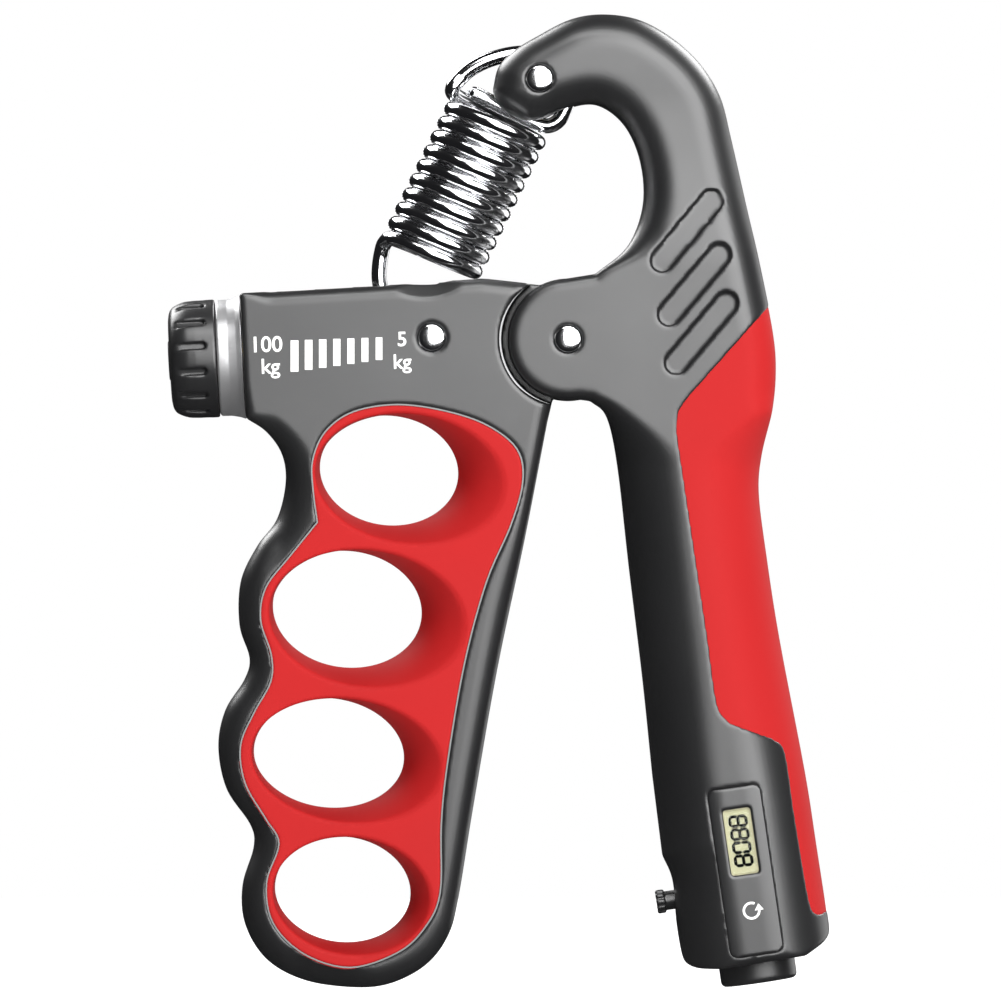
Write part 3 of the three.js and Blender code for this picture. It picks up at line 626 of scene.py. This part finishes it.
def pin_seat(shell, centre, deep):
    """Cut a pin's hole and a fine groove round its head. centre is the distance from its axis, and
    deep is negative down to the groove's depth."""
    shell = carve(shell, centre - PIN_RADIUS - 0.08, 0.15)
    return carve(shell, np.maximum(centre - 2.5, deep - 0.3), 0.15)


def screw_seats(shell, places, grid, deep):
    x, y, z = grid.axes
    for place in places:
        seat = np.hypot(x - place[0], z - place[1]) - SCREW_SEAT[0]
        shell = carve(shell, np.maximum(seat, deep - SCREW_SEAT[1]), 0.4)
    return shell


def palm_shell(side):
    """One half of the black handle. side is -1 at the front and 1 at the back."""
    grid = half_grid((-4, 1), (59, 168), 15, side)
    body, grip = palm_block(grid)
    x, y, z = grid.axes
    depth = np.abs(y)
    inward = palm_depth(z) - depth
    shell = carve(body, grip, 0.3)
    shell = np.maximum(shell, PARTING - side * y)
    pivot = np.hypot(x - PIVOT[0], z - PIVOT[1])
    anchor = np.hypot(x - ANCHOR[0], z - ANCHOR[1])
    # room for the other handle's tongue, and for the spring's loop in the hook
    shell = carve(shell, np.maximum(pivot - LUG_SEAT, depth - CHEEK_INNER), 0.3)
    mouth = np.minimum(anchor - 7.6, cuboid(x, y, z, (-14, -9, 136), (13.5, 9, 157.5), 3))
    shell = carve(shell, np.maximum(mouth, depth - 1.8), 0.5)
    for centre in (pivot, anchor):
        shell = pin_seat(shell, centre, inward)
    for start, end in GRIP_GROOVES:
        groove = capsule(x, z, start, end, 1.95)
        shell = carve(shell, np.maximum(groove, inward - 0.85), 0.3)
    # the counter's chamber, the reset stub's hole and the plunger's bore
    a, b = tilted(x, z, *HANDLE_FOOT)
    chamber = np.maximum(cuboid(a, y, b, (-10.2, -10, 6.8), (8.6, 10, 38), 1), body + 0.9)
    stub = np.maximum(np.hypot(a, y) - 6.75, b - 7)
    bore = np.maximum(np.hypot(y, b - PLUNGER_HEIGHT) - 1.75, a + 8)
    shell = carve(shell, np.minimum(np.minimum(chamber, stub), bore), 0.3)
    if side < 0:
        shell = carve(shell, cuboid(a, y, b, (-4.53, -20, 4.87), (4.93, -11.7, 33.83), 1.43), 0.15)
        shell = carve(shell, cuboid(a, y, b, (-3.6, -12.5, 17.6), (3.9, -9, 31.2), 0.5), 0.3)
    else:
        shell = screw_seats(shell, PALM_SCREWS, grid, inward)
    return shell_piece("palm", side, shell, grid)


def palm_grip():
    grid = Grid((28, -15, 9), (59, 15, 121), STEP)
    body, grip = palm_block(grid)
    # the rubber lies a little lower than the shell and runs on under its edge
    red = smooth_max(body + 0.09, grip - 0.5, 0.35)
    piece = field_piece("palm_grip_cover", red, grid, RED)
    return settle(piece, "palm_handle", "red_grip", "palm_grip")


# ---- Finger handle ----
def finger_shell(side):
    """One half of the barrel, its tongue and the frame round the insert."""
    grid = half_grid((-50, -2), (24, 123), 14, side)
    x, y, z = grid.axes
    depth = np.abs(y)
    inward = FINGER_DEPTH - depth
    u, w = tilted(x, z, *BARREL)
    # the edges roll least at the barrel's mouth and most round the fingers
    palm_side = smooth_step((x + 28.7 - 0.111 * z) / 8)
    roll = (0.7 + 1.7 * smooth_step((u + 54.5) / 5)
            + (1 - palm_side) * 4.4 * smooth_step((104 - z) / 24)
            + palm_side * 1.2 * smooth_step((82 - z) / 20))
    shell = rounded_plate(polygon(finger_outline(), x, z), depth, FINGER_DEPTH, roll)
    shell = carve(shell, polygon(insert_outline(), x, z) - 0.05, 0.25)
    shell = np.maximum(shell, PARTING - side * y)
    pivot = np.hypot(x - PIVOT[0], z - PIVOT[1])
    shell = carve(shell, np.maximum(pivot - LUG_SEAT, TONGUE_DEPTH - depth), 0.3)
    shell = carve(shell, np.maximum(pivot - LUG_SEAT - 0.42, inward - 0.6), 0.15)
    # the scoop under the coil slopes outwards
    scoop = np.hypot(x + 12.6, z - 128.2) - 11.3 + 2.7 * np.clip(inward / 2.3, 0, 1)
    shell = carve(shell, scoop, 0.4)
    # inside the barrel: room for the carriage and the spring's hook, for the end block and the screw
    trough = cuboid(u, y, w, (-51.9, -9.7, 5), (-13, 9.7, 30), 2)
    slot = cuboid(u, y, w, (-51.8, -3.5, 3), (-23.5, 3.5, 6), 1)
    shell = carve(shell, np.minimum(trough, slot), 0.5)
    channel = cuboid(u, y, w, (-52.6, -6.3, -5.8), (-28.6, 6.3, 3.6), 0.3)
    pocket = cuboid(u, y, w, (-29, -5.3, -4.8), (-18.7, 5.3, 5.4), 0.3)
    journal = np.maximum(np.hypot(y, w) - 4.1, u + 50)
    shell = carve(shell, np.minimum(np.minimum(channel, pocket), journal), 0.3)
    for centre in (pivot, np.hypot(x - BARREL_PIN[0], z - BARREL_PIN[1])):
        shell = pin_seat(shell, centre, inward)
    if side > 0:
        shell = screw_seats(shell, FINGER_SCREWS, grid, inward)
    return shell_piece("finger", side, shell, grid)


def finger_insert():
    """The red insert: four holes whose walls curve out to wide flares on both faces."""
    grid = Grid((-45.5, -13.5, 2), (6, 13.5, 101), STEP)
    x, y, z = grid.axes
    depth = np.abs(y)
    insert = rounded_plate(polygon(insert_outline(), x, z) - 0.4, depth, FINGER_DEPTH, 0.9)
    t = np.clip((depth - HOLE_THROAT) / (FINGER_DEPTH + 0.25 - HOLE_THROAT), 0, 1)
    flare = 0.55 * t + 0.45 * t**3
    for throat, mouth in FINGER_HOLES:
        cx, cz, a, b = (near + (far - near) * flare for near, far in zip(throat, mouth))
        insert = carve(insert, ellipse(*tilted(x, z, (cx, cz), HOLE_TILT), a, b), 0.7)
    piece = field_piece("finger_insert_cover", insert, grid, RED)
    return settle(piece, "finger_handle", "red_grip", "finger_insert")


# ---- Knob, collar and barrel fittings ----
def knob():
    """A domed knob with finger slots that run in from its outer end."""
    grid = Grid((-69, -11.5, -11.5), (-59, 11.5, 11.5), FINE)
    u, y, w = grid.axes
    radius = np.hypot(y, w)
    form = polygon([
        (-67.7, -1), *spline([(-67.7, 7.0), (-67.4, 8.3), (-66.6, 9.2), (-65.0, 9.85), (-63.2, 10.02)]),
        (-59.78, 10.02), (-59.68, 9.9), (-59.68, -1)], u, radius)
    pitch = 2 * math.pi / 14
    local = (np.mod(np.arctan2(w, y), pitch) - pitch / 2) * 10
    slot = np.hypot(local, np.maximum(u + 62.0, 0)) - 0.62
    body = carve(form, np.maximum(slot, 9.3 - radius), 0.3)
    body = carve(body, np.maximum(radius - 4.95, u + 66.9), 0.4)
    body = carve(body, np.maximum(radius - 2.75, -(u + 64.2)), 0.2)
    piece = field_piece("adjusting_knob_shell", body, grid, KNOB_BLACK, BARREL)
    return settle(piece, "knob", "black_abs", "adjusting_knob")


def barrel_fittings():
    """The chrome collar, and the cap in the knob's end."""
    corners, faces = turned(eased([
        (-59.6, 5.7), (-59.6, 9.5), (-59.3, 9.85), (-57.6, 9.9), (-56.2, 10.2), (-55.4, 10.5),
        (-55.25, 10.5), (-55.25, 5.7)], 0.15), "x", 96)
    collar = mesh_piece("barrel_collar_ring", placed(corners, *BARREL), faces, COLLAR, 50)
    settle(collar, "finger_handle", "chrome", "barrel_collar")
    corners, faces = turned(eased([
        (-67.9, 0), (-67.95, 3.2), (-67.7, 3.5), (-67.75, 4.2), (-67.4, 4.75), (-67.1, 4.75),
        (-67.1, 0)], 0.2), "x", 72)
    cap = mesh_piece("knob_end_cap", placed(corners, *BARREL), faces, KNOB_BLACK, 40)
    settle(cap, "knob", "black_abs", "knob_cap")


def lead_screw():
    """A single-start thread on the screw's working length, and plain journals."""
    sides, lead, radius, ridge = 36, 2.0, 2.05, 0.45
    start, end = -52.8, -28.8
    rings = [(along, [r] * sides) for along, r in ((-63.9, 1e-3), (-63.9, 2.2), (-63.6, 2.5), (start, 2.5))]
    for along in np.linspace(start, end, 110):
        rises = [abs((along / lead - i / sides) % 1.0 - 0.5) * 3 - 0.25 for i in range(sides)]
        rings.append((along, [radius + ridge * min(max(rise, 0), 1) for rise in rises]))
    for along, r in ((end + 0.1, 1.6), (-25.8, 1.6), (-25.5, 1.3), (-25.5, 1e-3)):
        rings.append((along, [r] * sides))
    turns = [2 * math.pi * i / sides for i in range(sides)]
    corners = [(along, r * math.cos(t), r * math.sin(t)) for along, radii in rings
               for t, r in zip(turns, radii)]
    faces = tube_faces(len(rings), sides)
    piece = mesh_piece("lead_screw_thread", placed(corners, *BARREL), faces, STEEL, 50)
    return settle(piece, "knob", "steel", "lead_screw")


def carriage():
    """The travelling block on the screw, with two ears round the spring's hook."""
    grid = Grid((-38.5, -7, -6.5), (-23.5, 7, 11), FINE)
    u, y, w = grid.axes
    eye = tilted(*CARRIAGE_PIN, *BARREL)
    ears = np.maximum(capsule(u, w, (-33.5, 6.7), eye, 2.95), np.abs(y) - 3.05)
    block = cuboid(u, y, w, (-37.45, -5.95, -5.45), (-29.05, 5.95, 3.25), 0.5)
    neck = cuboid(u, y, w, (-36, -3.05, 2), (-30.5, 3.05, 7), 0.3)
    body = np.minimum(np.minimum(ears, block), neck)
    body = smooth_max(body, w - 10.1, 0.4)
    body = carve(body, np.hypot(y, w) - 2.75, 0.3)
    body = carve(body, cuboid(u, y, w, (-32.8, -1.7, 3.7), (-10, 1.7, 20), 0.3), 0.3)
    body = carve(body, np.hypot(u - eye[0], w - eye[1]) - 1.85, 0.2)
    piece = field_piece("carriage_block", body, grid, TRIM, BARREL)
    return settle(piece, "carriage", "black_trim", "carriage_nut")


def ribbon(points, inner, outer, low, high, closed):
    """Corners and faces of a thin wall that follows an outline, between two offsets from it."""
    points = np.array(points[:-1] if closed else points, float)
    before, after = np.roll(points, 1, 0), np.roll(points, -1, 0)
    if not closed:
        before[0], after[-1] = points[0], points[-1]
    way = after - before
    way /= np.linalg.norm(way, axis=1)[:, None]
    out = np.stack((way[:, 1], -way[:, 0]), 1)
    area = np.sum(points[:, 0] * np.roll(points[:, 1], -1) - points[:, 1] * np.roll(points[:, 0], -1))
    out *= 1 if area > 0 else -1
    count = len(points)
    near, far = (points + out * np.broadcast_to(offset, count)[:, None] for offset in (inner, outer))
    corners = [(x, y, z) for y, row in ((low, near), (low, far), (high, far), (high, near)) for x, z in row]
    faces = []
    for k in range(4):
        a, b = k * count, (k + 1) % 4 * count
        for i in range(count if closed else count - 1):
            j = (i + 1) % count
            faces.append((a + i, a + j, b + j, b + i))
    if not closed:
        faces += [(0, count, 2 * count, 3 * count), (4 * count - 1, 3 * count - 1, 2 * count - 1, count - 1)]
    return corners, faces


def seams():
    """A lip round the insert whose light grey is a painted highlight along the seam, and a pale rim round
    each side of the lug's seat whose grey is a painted highlight on the seat's edge.
    """
    # the lip's light grey is a painted highlight along the insert's seam
    corners, faces = ribbon(insert_outline(), -0.08, 0.17, -12.05, 12.05, True)
    settle(mesh_piece("insert_lip_highlight", corners, faces, SEAM_HIGHLIGHT, 40), "finger_handle", "black_trim")
    # each rim's pale grey is a painted highlight on the edge of the lug's seat
    rim = arc(PIVOT, LUG_SEAT + 0.06, math.radians(132), math.radians(254), 60)
    taper = np.clip(np.minimum(np.arange(60), np.arange(60)[::-1]) / 16, 0.1, 1)
    for name, low, high in (("seat_rim_highlight_front", -12.06, -11.5), ("seat_rim_highlight_back", 11.5, 12.06)):
        corners, faces = ribbon(rim, 0, 0.28 * taper, low, high, False)
        settle(mesh_piece(name, corners, faces, RIM_HIGHLIGHT, 40), "finger_handle", "black_trim")


# ---- Pins and screws ----
def pin(name, centre, half, body, node):
    """A pin with a slightly domed head on both faces. Its profile is the same at both ends."""
    head = [(0.16, 0), (0.14, 0.8), (0.08, 1.5), (-0.02, 2.0), (-0.2, PIN_RADIUS)]
    profile = [(-half - out, r) for out, r in head] + [(half + out, r) for out, r in head[::-1]]
    corners, faces = turned(eased(profile, 0.2), "y", 48)
    piece = mesh_piece(name, corners + (centre[0], 0, centre[1]), faces, CHROME, 50)
    return settle(piece, body, "chrome", node)


def case_screw(node, place, face, body):
    """A pan-head screw with a cross recess."""
    grid = Grid((-2.4, -2.6, -2.4), (2.4, 0.4, 2.4), 0.12)
    x, y, z = grid.axes
    radius = np.hypot(x, z)
    dome = np.sqrt(radius**2 + (y + 5.6) ** 2) - 5.1
    head = smooth_max(np.maximum(radius - 2.0, -y - 2.1), dome, 0.3)
    cross = np.minimum(np.maximum(np.abs(x) - 0.32, np.abs(z) - 1.15),
                       np.maximum(np.abs(z) - 0.32, np.abs(x) - 1.15))
    head = carve(head, np.maximum(cross, -y - 1.5), 0.15)
    corners, quads = surface(head, grid)
    piece = mesh_piece(f"{node}_head", corners + (place[0], face, place[1]), quads.tolist(), STEEL)
    return settle(piece, body, "steel", node)


# ---- Main spring ----
COIL_WAY = np.array((COIL_TOP[0] - COIL_BOTTOM[0], 0, COIL_TOP[1] - COIL_BOTTOM[1]))
COIL_ACROSS = np.array((COIL_WAY[2], 0, -COIL_WAY[0])) / np.linalg.norm(COIL_WAY)


def coil_point(turn):
    angle = 2 * math.pi * turn
    place = np.array((COIL_BOTTOM[0], 0, COIL_BOTTOM[1])) + COIL_WAY * turn / COIL_TURNS
    return place - COIL_RADIUS * (COIL_ACROSS * math.cos(angle) + np.array((0, math.sin(angle), 0)))


def spring_wire(name, path, before=None, after=None):
    corners, faces = wire_mesh(path, WIRE, 16, before, after)
    piece = mesh_piece(name, corners, faces, CHROME, 50)
    return piece


def stretching_turn(name, start, end, share):
    """Half a turn of wire, baked into the object's frame. share changes across the coil and not along it;
    the places in its easing at the two ends are worked out, and nothing uses them."""
    rings = max(8, round((end - start) * 56))
    path = [coil_point(t) for t in np.linspace(start, end, rings)]
    piece = spring_wire(name, path, coil_point(start - 0.02), coil_point(end + 0.02))
    # the place in the easing that gives each end's share
    near, far = (0.5 - math.sin(math.asin(1 - 2 * share(t)) / 3) for t in (start, end))
    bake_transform(piece)
    return piece


def main_spring():
    """One wire: a hook round the carriage's pin, the coil, and a loop round the anchor's bush."""
    hook = [(CARRIAGE_PIN[0] + 3.4 * math.cos(t), 0, CARRIAGE_PIN[1] + 3.4 * math.sin(t))
            for t in np.radians(np.linspace(5, -180, 14))]
    leg = [(-20.3, 0, 119.8), (-20.35, 0, 122.2), (-20.0, -0.05, 124.7), (-19.4, -0.6, 126.5)]
    loop = [(-7.9, 0, 152.2), (-6.2, 0, 154.9), (-3.3, 0, 156.9), (0.6, 0, 158.3), (4.4, 0, 158.8),
            (8.6, 0, 158.4), (11.4, 0, 155.8), (11.9, 0, 152.2), (11.2, 0, 149.2), (9.9, 0, 147.1),
            (7.9, 0, 146.4), (5.2, 0, 147.4), (0.5, 0, 149.6), (-4.2, 0, 151.9)]
    low, middle, high = 0.07, 4.5, 9.0
    end = COIL_TURNS + 0.62
    path = spline([*hook, *leg, coil_point(low), coil_point(low + 0.12)], 8)[:-8]
    lower = spring_wire("spring_hook", path, after=coil_point(low + 0.02))
    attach(lower, "spring_bottom")
    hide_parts("spring_lower")
    path = [coil_point(t) for t in np.arange(high, end, 0.018)]
    path += spline([coil_point(end - 0.12), coil_point(end), *loop], 10)[10:]
    upper = spring_wire("spring_loop", path, before=coil_point(high - 0.02))
    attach(upper, "spring_top")
    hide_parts("spring_upper")
    edges = [low, *np.arange(0.5, high + 0.1, 0.5)]
    for n, (start, stop) in enumerate(zip(edges, edges[1:])):
        if stop <= middle:
            bodies, first, last = ("spring_mid", "spring_bottom"), low, middle
        else:
            bodies, first, last = ("spring_top", "spring_mid"), middle, high
        turn = stretching_turn(f"spring_turn_{n + 1}", start, stop,
                               lambda t: (last - t) / (last - first))
        if stop == middle:
            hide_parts("spring_middle")


# ---- Print, display and counter ----
def prisms(name, outlines, low, high, material, place=None):
    """One mesh of thin plates, whose outlines are in along and up."""
    corners, faces = [], []
    for outline in outlines:
        count, base = len(outline), len(corners)
        corners += [(a, y, b) for y in (low, high) for a, b in outline]
        near = [base + i for i in range(count)]
        far = [i + count for i in near]
        faces += [near, far[::-1]]
        faces += [(near[i - 1], far[i - 1], far[i], near[i]) for i in range(count)]
    corners = placed(corners, *place) if place else corners
    return mesh_piece(name, corners, faces, material, smooth=False)


def lettering(name, text, centre, height, angle, face):
    """Printed characters as thin raised ink on the front face."""
    curve = bpy.data.curves.new(name, "FONT")
    curve.body = text
    curve.align_x, curve.align_y = "CENTER", "CENTER"
    curve.size = height * MM * 1.38
    curve.extrude = INK * MM
    curve.offset = 0.00004
    maker = bpy.data.objects.new(name + "_maker", curve)
    bpy.context.scene.collection.objects.link(maker)
    bpy.context.view_layer.update()
    mesh = bpy.data.meshes.new_from_object(maker)
    points = np.array([v.co for v in mesh.vertices]) / MM
    faces = [tuple(p.vertices) for p in mesh.polygons]
    bpy.data.objects.remove(maker)
    bpy.data.curves.remove(curve)
    flat = np.stack((points[:, 0], face - points[:, 2], points[:, 1]), 1)
    return mesh_piece(name, placed(flat, centre, angle), faces, PRINT, smooth=False)


def scale_print():
    """Seven bars that shrink to the right, between the marks for most and least load."""
    face = -FINGER_DEPTH - 0.01
    bars = []
    for t in np.linspace(0, 1, 7):
        x, half = -34.6 + 14.3 * t, 0.65 - 0.1 * t
        top, bottom = 109.8 + 0.5 * t, 104.5 + 2.0 * t
        bars.append([(x - half, bottom), (x + half, bottom), (x + half, top), (x - half, top)])
    piece = prisms("scale_bars", bars, face - INK, face + INK, PRINT)
    settle(piece, "finger_handle", "black_abs")
    for name, text, place, height in (
            ("scale_high", "100", (-39.4, 109.0), 2.7), ("scale_high_unit", "kg", (-38.7, 105.3), 2.6),
            ("scale_low", "5", (-16.4, 109.9), 2.5), ("scale_low_unit", "kg", (-16.4, 106.1), 2.5)):
        mark = lettering(name, text, place, height, math.radians(1.5), face)
        settle(mark, "finger_handle", "black_abs")


SEGMENTS = {  # ends of each segment, in figure widths and half heights
    "a": ((0, 2), (1, 2)), "b": ((1, 1), (1, 2)), "c": ((1, 0), (1, 1)), "d": ((0, 0), (1, 0)),
    "e": ((0, 0), (0, 1)), "f": ((0, 1), (0, 2)), "g": ((0, 1), (1, 1)),
}
LIT_SEGMENTS = {"8": "abcdefg", "0": "abcdef"}


def digits(text, height, width):
    """Outlines of seven-segment figures, side by side along x and leaning a little."""
    stroke, gap, slant = height * 0.2, height * 0.004, 0.03
    out = []
    for n, figure in enumerate(text):
        for letter in LIT_SEGMENTS[figure]:
            start, end = (np.array(((n * 1.38 + a) * width, b * height / 2)) for a, b in SEGMENTS[letter])
            way = (end - start) / np.linalg.norm(end - start)
            side = np.array((-way[1], way[0])) * stroke / 2
            tip = way * stroke / 2
            start, end = start + way * gap, end - way * gap
            shape = [start, start + tip - side, end - tip - side, end, end - tip + side, start + tip + side]
            out.append([(x + slant * z, z) for x, z in shape])
    return out


def counter_panel():
    outline = []
    for x, z, start in ((3.5, 6.3, -90), (3.5, 32.4, 0), (-3.1, 32.4, 90), (-3.1, 6.3, 180)):
        outline += arc((x, z), 1.3, math.radians(start), math.radians(start + 90), 7)
    grid = Grid((-5.2, -14, 4.2), (5.6, -11, 34.5), FINE)
    a, y, b = grid.axes
    crown = rounded_plate(np.abs(a - 0.2) - 12.6, np.abs(y), PALM_DEPTH, 11)
    plate = rounded_plate(polygon(outline, a, b), np.abs(y + 12.2), 1.0, 0.2)
    plate = smooth_max(plate, crown, 0.15)
    plate = carve(plate, cuboid(a, y, b, (-2.2, -20, 18.8), (2.5, 0, 30), 0.5), 0.4)
    panel = field_piece("counter_bezel", plate, grid, TRIM, HANDLE_FOOT)
    settle(panel, "palm_handle", "black_trim", "counter_panel")


def display():
    """The display's cell, and figures that read along the handle."""
    outline = [(-2.9, 18.2), (3.2, 18.2), (3.2, 30.6), (-2.9, 30.6)]
    cell = prisms("lcd_cell", [outline], -12.2, -9.95, LCD_BACK, HANDLE_FOOT)
    settle(cell, "palm_handle", "lcd", "lcd_module")
    segments = digits("8808", 2.75, 1.62)
    width = max(x for shape in segments for x, z in shape)
    along = [[(-1.2 + z, 24.4 + width / 2 - x) for x, z in shape] for shape in segments]
    ink = prisms("lcd_figures", along, -12.26, -12.2, LCD_INK, HANDLE_FOOT)
    settle(ink, "palm_handle", "lcd")


def reset_sign():
    """A generic reset sign: an open ring with an arrow head."""
    x, z, outer, inner = 0.25, 12.6, 1.5, 1.12
    turns = np.radians((60, 360))
    outside, inside = (arc((x, z), radius, *turns, 26) for radius in (outer, inner))
    shapes = [[inside[i], inside[i + 1], outside[i + 1], outside[i]] for i in range(25)]
    tip = x + (outer + inner) / 2
    shapes.append([(tip - 0.75, z - 0.05), (tip + 0.75, z - 0.05), (tip, z + 1.05)])
    sign = prisms("reset_sign", shapes, -13.05, -12.98, PRINT, HANDLE_FOOT)
    settle(sign, "palm_handle", "black_trim")


def lens():
    """A clear window with softened edges over the display."""
    grid = Grid((-2.6, -13.2, 18.4), (2.9, -12, 30.4), 0.2)
    a, y, b = grid.axes
    outline = cuboid(a, np.zeros_like(y), b, (-2.0, -1, 19.0), (2.3, 1, 29.8), 0.4)
    plate = rounded_plate(outline, np.abs(y + 12.6), 0.22, 0.15)
    nodes = Nodes("clear_window", (0.96, 0.98, 0.97), 0.03, Transmission_Weight=1.0, IOR=1.12)
    nodes.rough(nodes.noise(60, 3), 0.01, 0.05)
    piece = field_piece("display_window", plate, grid, nodes.material, HANDLE_FOOT)
    settle(piece, "palm_handle", "lens", "display_lens")


def plunger():
    """The counting plunger: a crown tip on a stem."""
    grid = Grid((-16, -3.2, -3.2), (-6.8, 3.2, 3.2), 0.18)
    a, y, b = grid.axes
    radius = np.hypot(y, b)
    crown = rounded_plate(radius - 2.05, np.abs(a + 14.65), 0.75, 0.3)
    teeth = np.abs(np.mod(np.arctan2(b, y), math.pi / 5) - math.pi / 10) * 2.2 - 0.22
    crown = carve(crown, np.maximum(teeth, 1.7 - radius), 0.2)
    crown = carve(crown, np.sqrt((a + 17.0) ** 2 + radius**2) - 2.1, 0.2)
    stem = rounded_plate(radius - 1.62, np.abs(a + 11), 3.6, 0.2)
    flange = rounded_plate(radius - 2.8, np.abs(a + 9.5), 0.4, 0.15)
    whole = np.minimum(np.minimum(crown, stem), flange)
    axis = (placed((0, 0, PLUNGER_HEIGHT), *HANDLE_FOOT)[0, ::2], FOOT_TILT)
    piece = field_piece("count_plunger_crown", whole, grid, KNOB_BLACK, axis)
    return settle(piece, "count_plunger", "black_trim", "count_plunger")


def reset_knob():
    """The round push-and-turn stub in the handle's end, with a grip bar across its dished face."""
    grid = Grid((-8.4, -8.4, -0.6), (8.4, 8.4, 9), 0.22)
    a, y, b = grid.axes
    radius = np.hypot(a, y)
    body = rounded_plate(radius - 6.5, np.abs(b - 4.0), 4.0, 0.9)
    flange = rounded_plate(radius - 7.6, np.abs(b - 7.7), 0.6, 0.2)
    whole = np.minimum(body, flange)
    dish = np.maximum(radius - 5.2, b - 1.0)
    bar = np.maximum(np.abs(y) - 1.0, dish)
    whole = carve(whole, np.maximum(dish, -bar), 0.4)
    whole = carve(whole, np.maximum(radius - 2.2, 1.5 - b), 0.2)
    piece = field_piece("reset_knob_stub", whole, grid, KNOB_BLACK, HANDLE_FOOT)
    return settle(piece, "reset_knob", "black_abs", "reset_knob")


def small_spring(name, node, low, high, radius, turns, wire, spot):
    """A return spring in the foot. spot places along and two across."""
    path = []
    for t in np.linspace(0, 1, int(turns * 28)):
        turn = 2 * math.pi * turns * t
        path.append(spot(low + (high - low) * t, radius * math.cos(turn), radius * math.sin(turn)))
    corners, faces = wire_mesh(path, wire, 8)
    piece = mesh_piece(name, placed(corners, *HANDLE_FOOT), faces, STEEL)
    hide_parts(node)
    start, end = placed([spot(high, 0, 0), spot(low, 0, 0)], *HANDLE_FOOT) * MM
    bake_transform(piece)


def small_springs():
    small_spring("plunger_return_coil", "plunger_spring", -8.7, -5.7, 2.3, 4, 0.45,
                 lambda along, p, q: (along, p, PLUNGER_HEIGHT + q))
    small_spring("reset_return_coil", "reset_spring", 9, 11.7, 4.2, 3, 0.55,
                 lambda along, p, q: (p, q, along))


# ---- Pieces that stay as the frame has them ----
def carried(nodes, material, bevel=0.25):
    """Give frame pieces eased edges and a finished material."""
    for node in nodes:
        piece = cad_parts[node]
        piece.data.materials.clear()
        piece.data.materials.append(material)
        edge = piece.modifiers.new("eased_edges", "BEVEL")
        edge.width = bevel * MM
        edge.segments = 2
        edge.limit_method = "ANGLE"
        edge.angle_limit = math.radians(40)


def build():
    for side in (-1, 1):
        palm_shell(side)
        finger_shell(side)
    palm_grip()
    finger_insert()
    knob()
    barrel_fittings()
    lead_screw()
    carriage()
    seams()
    pin("pivot_pin_head", PIVOT, PALM_DEPTH - 0.1, "palm_handle", "pivot_pin")
    pin("anchor_pin_head", ANCHOR, HOOK_DEPTH - 0.1, "palm_handle", "anchor_pin")
    pin("barrel_pin_head", BARREL_PIN, FINGER_DEPTH - 0.1, "finger_handle", "barrel_pin")
    for i, place in enumerate(PALM_SCREWS):
        case_screw(f"palm_screw_{i + 1}", place, float(palm_depth(place[1])), "palm_handle")
    for i, place in enumerate(FINGER_SCREWS):
        case_screw(f"finger_screw_{i + 1}", place, FINGER_DEPTH, "finger_handle")
    main_spring()
    scale_print()
    counter_panel()
    display()
    reset_sign()
    lens()
    plunger()
    reset_knob()
    small_springs()
    carried(("screw_bush",), BRASS)
    carried(("carriage_pin", "screw_end_block", "knob_screw", "button_cell", "cell_clip", "reset_stem"),
            STEEL)
    carried(("pivot_washer_front", "pivot_washer_back", "anchor_bush", "guide_plate"), NYLON, 0.15)
    carried(("counter_board",), BOARD, 0.1)
    carried(("count_switch",), TRIM)


build()
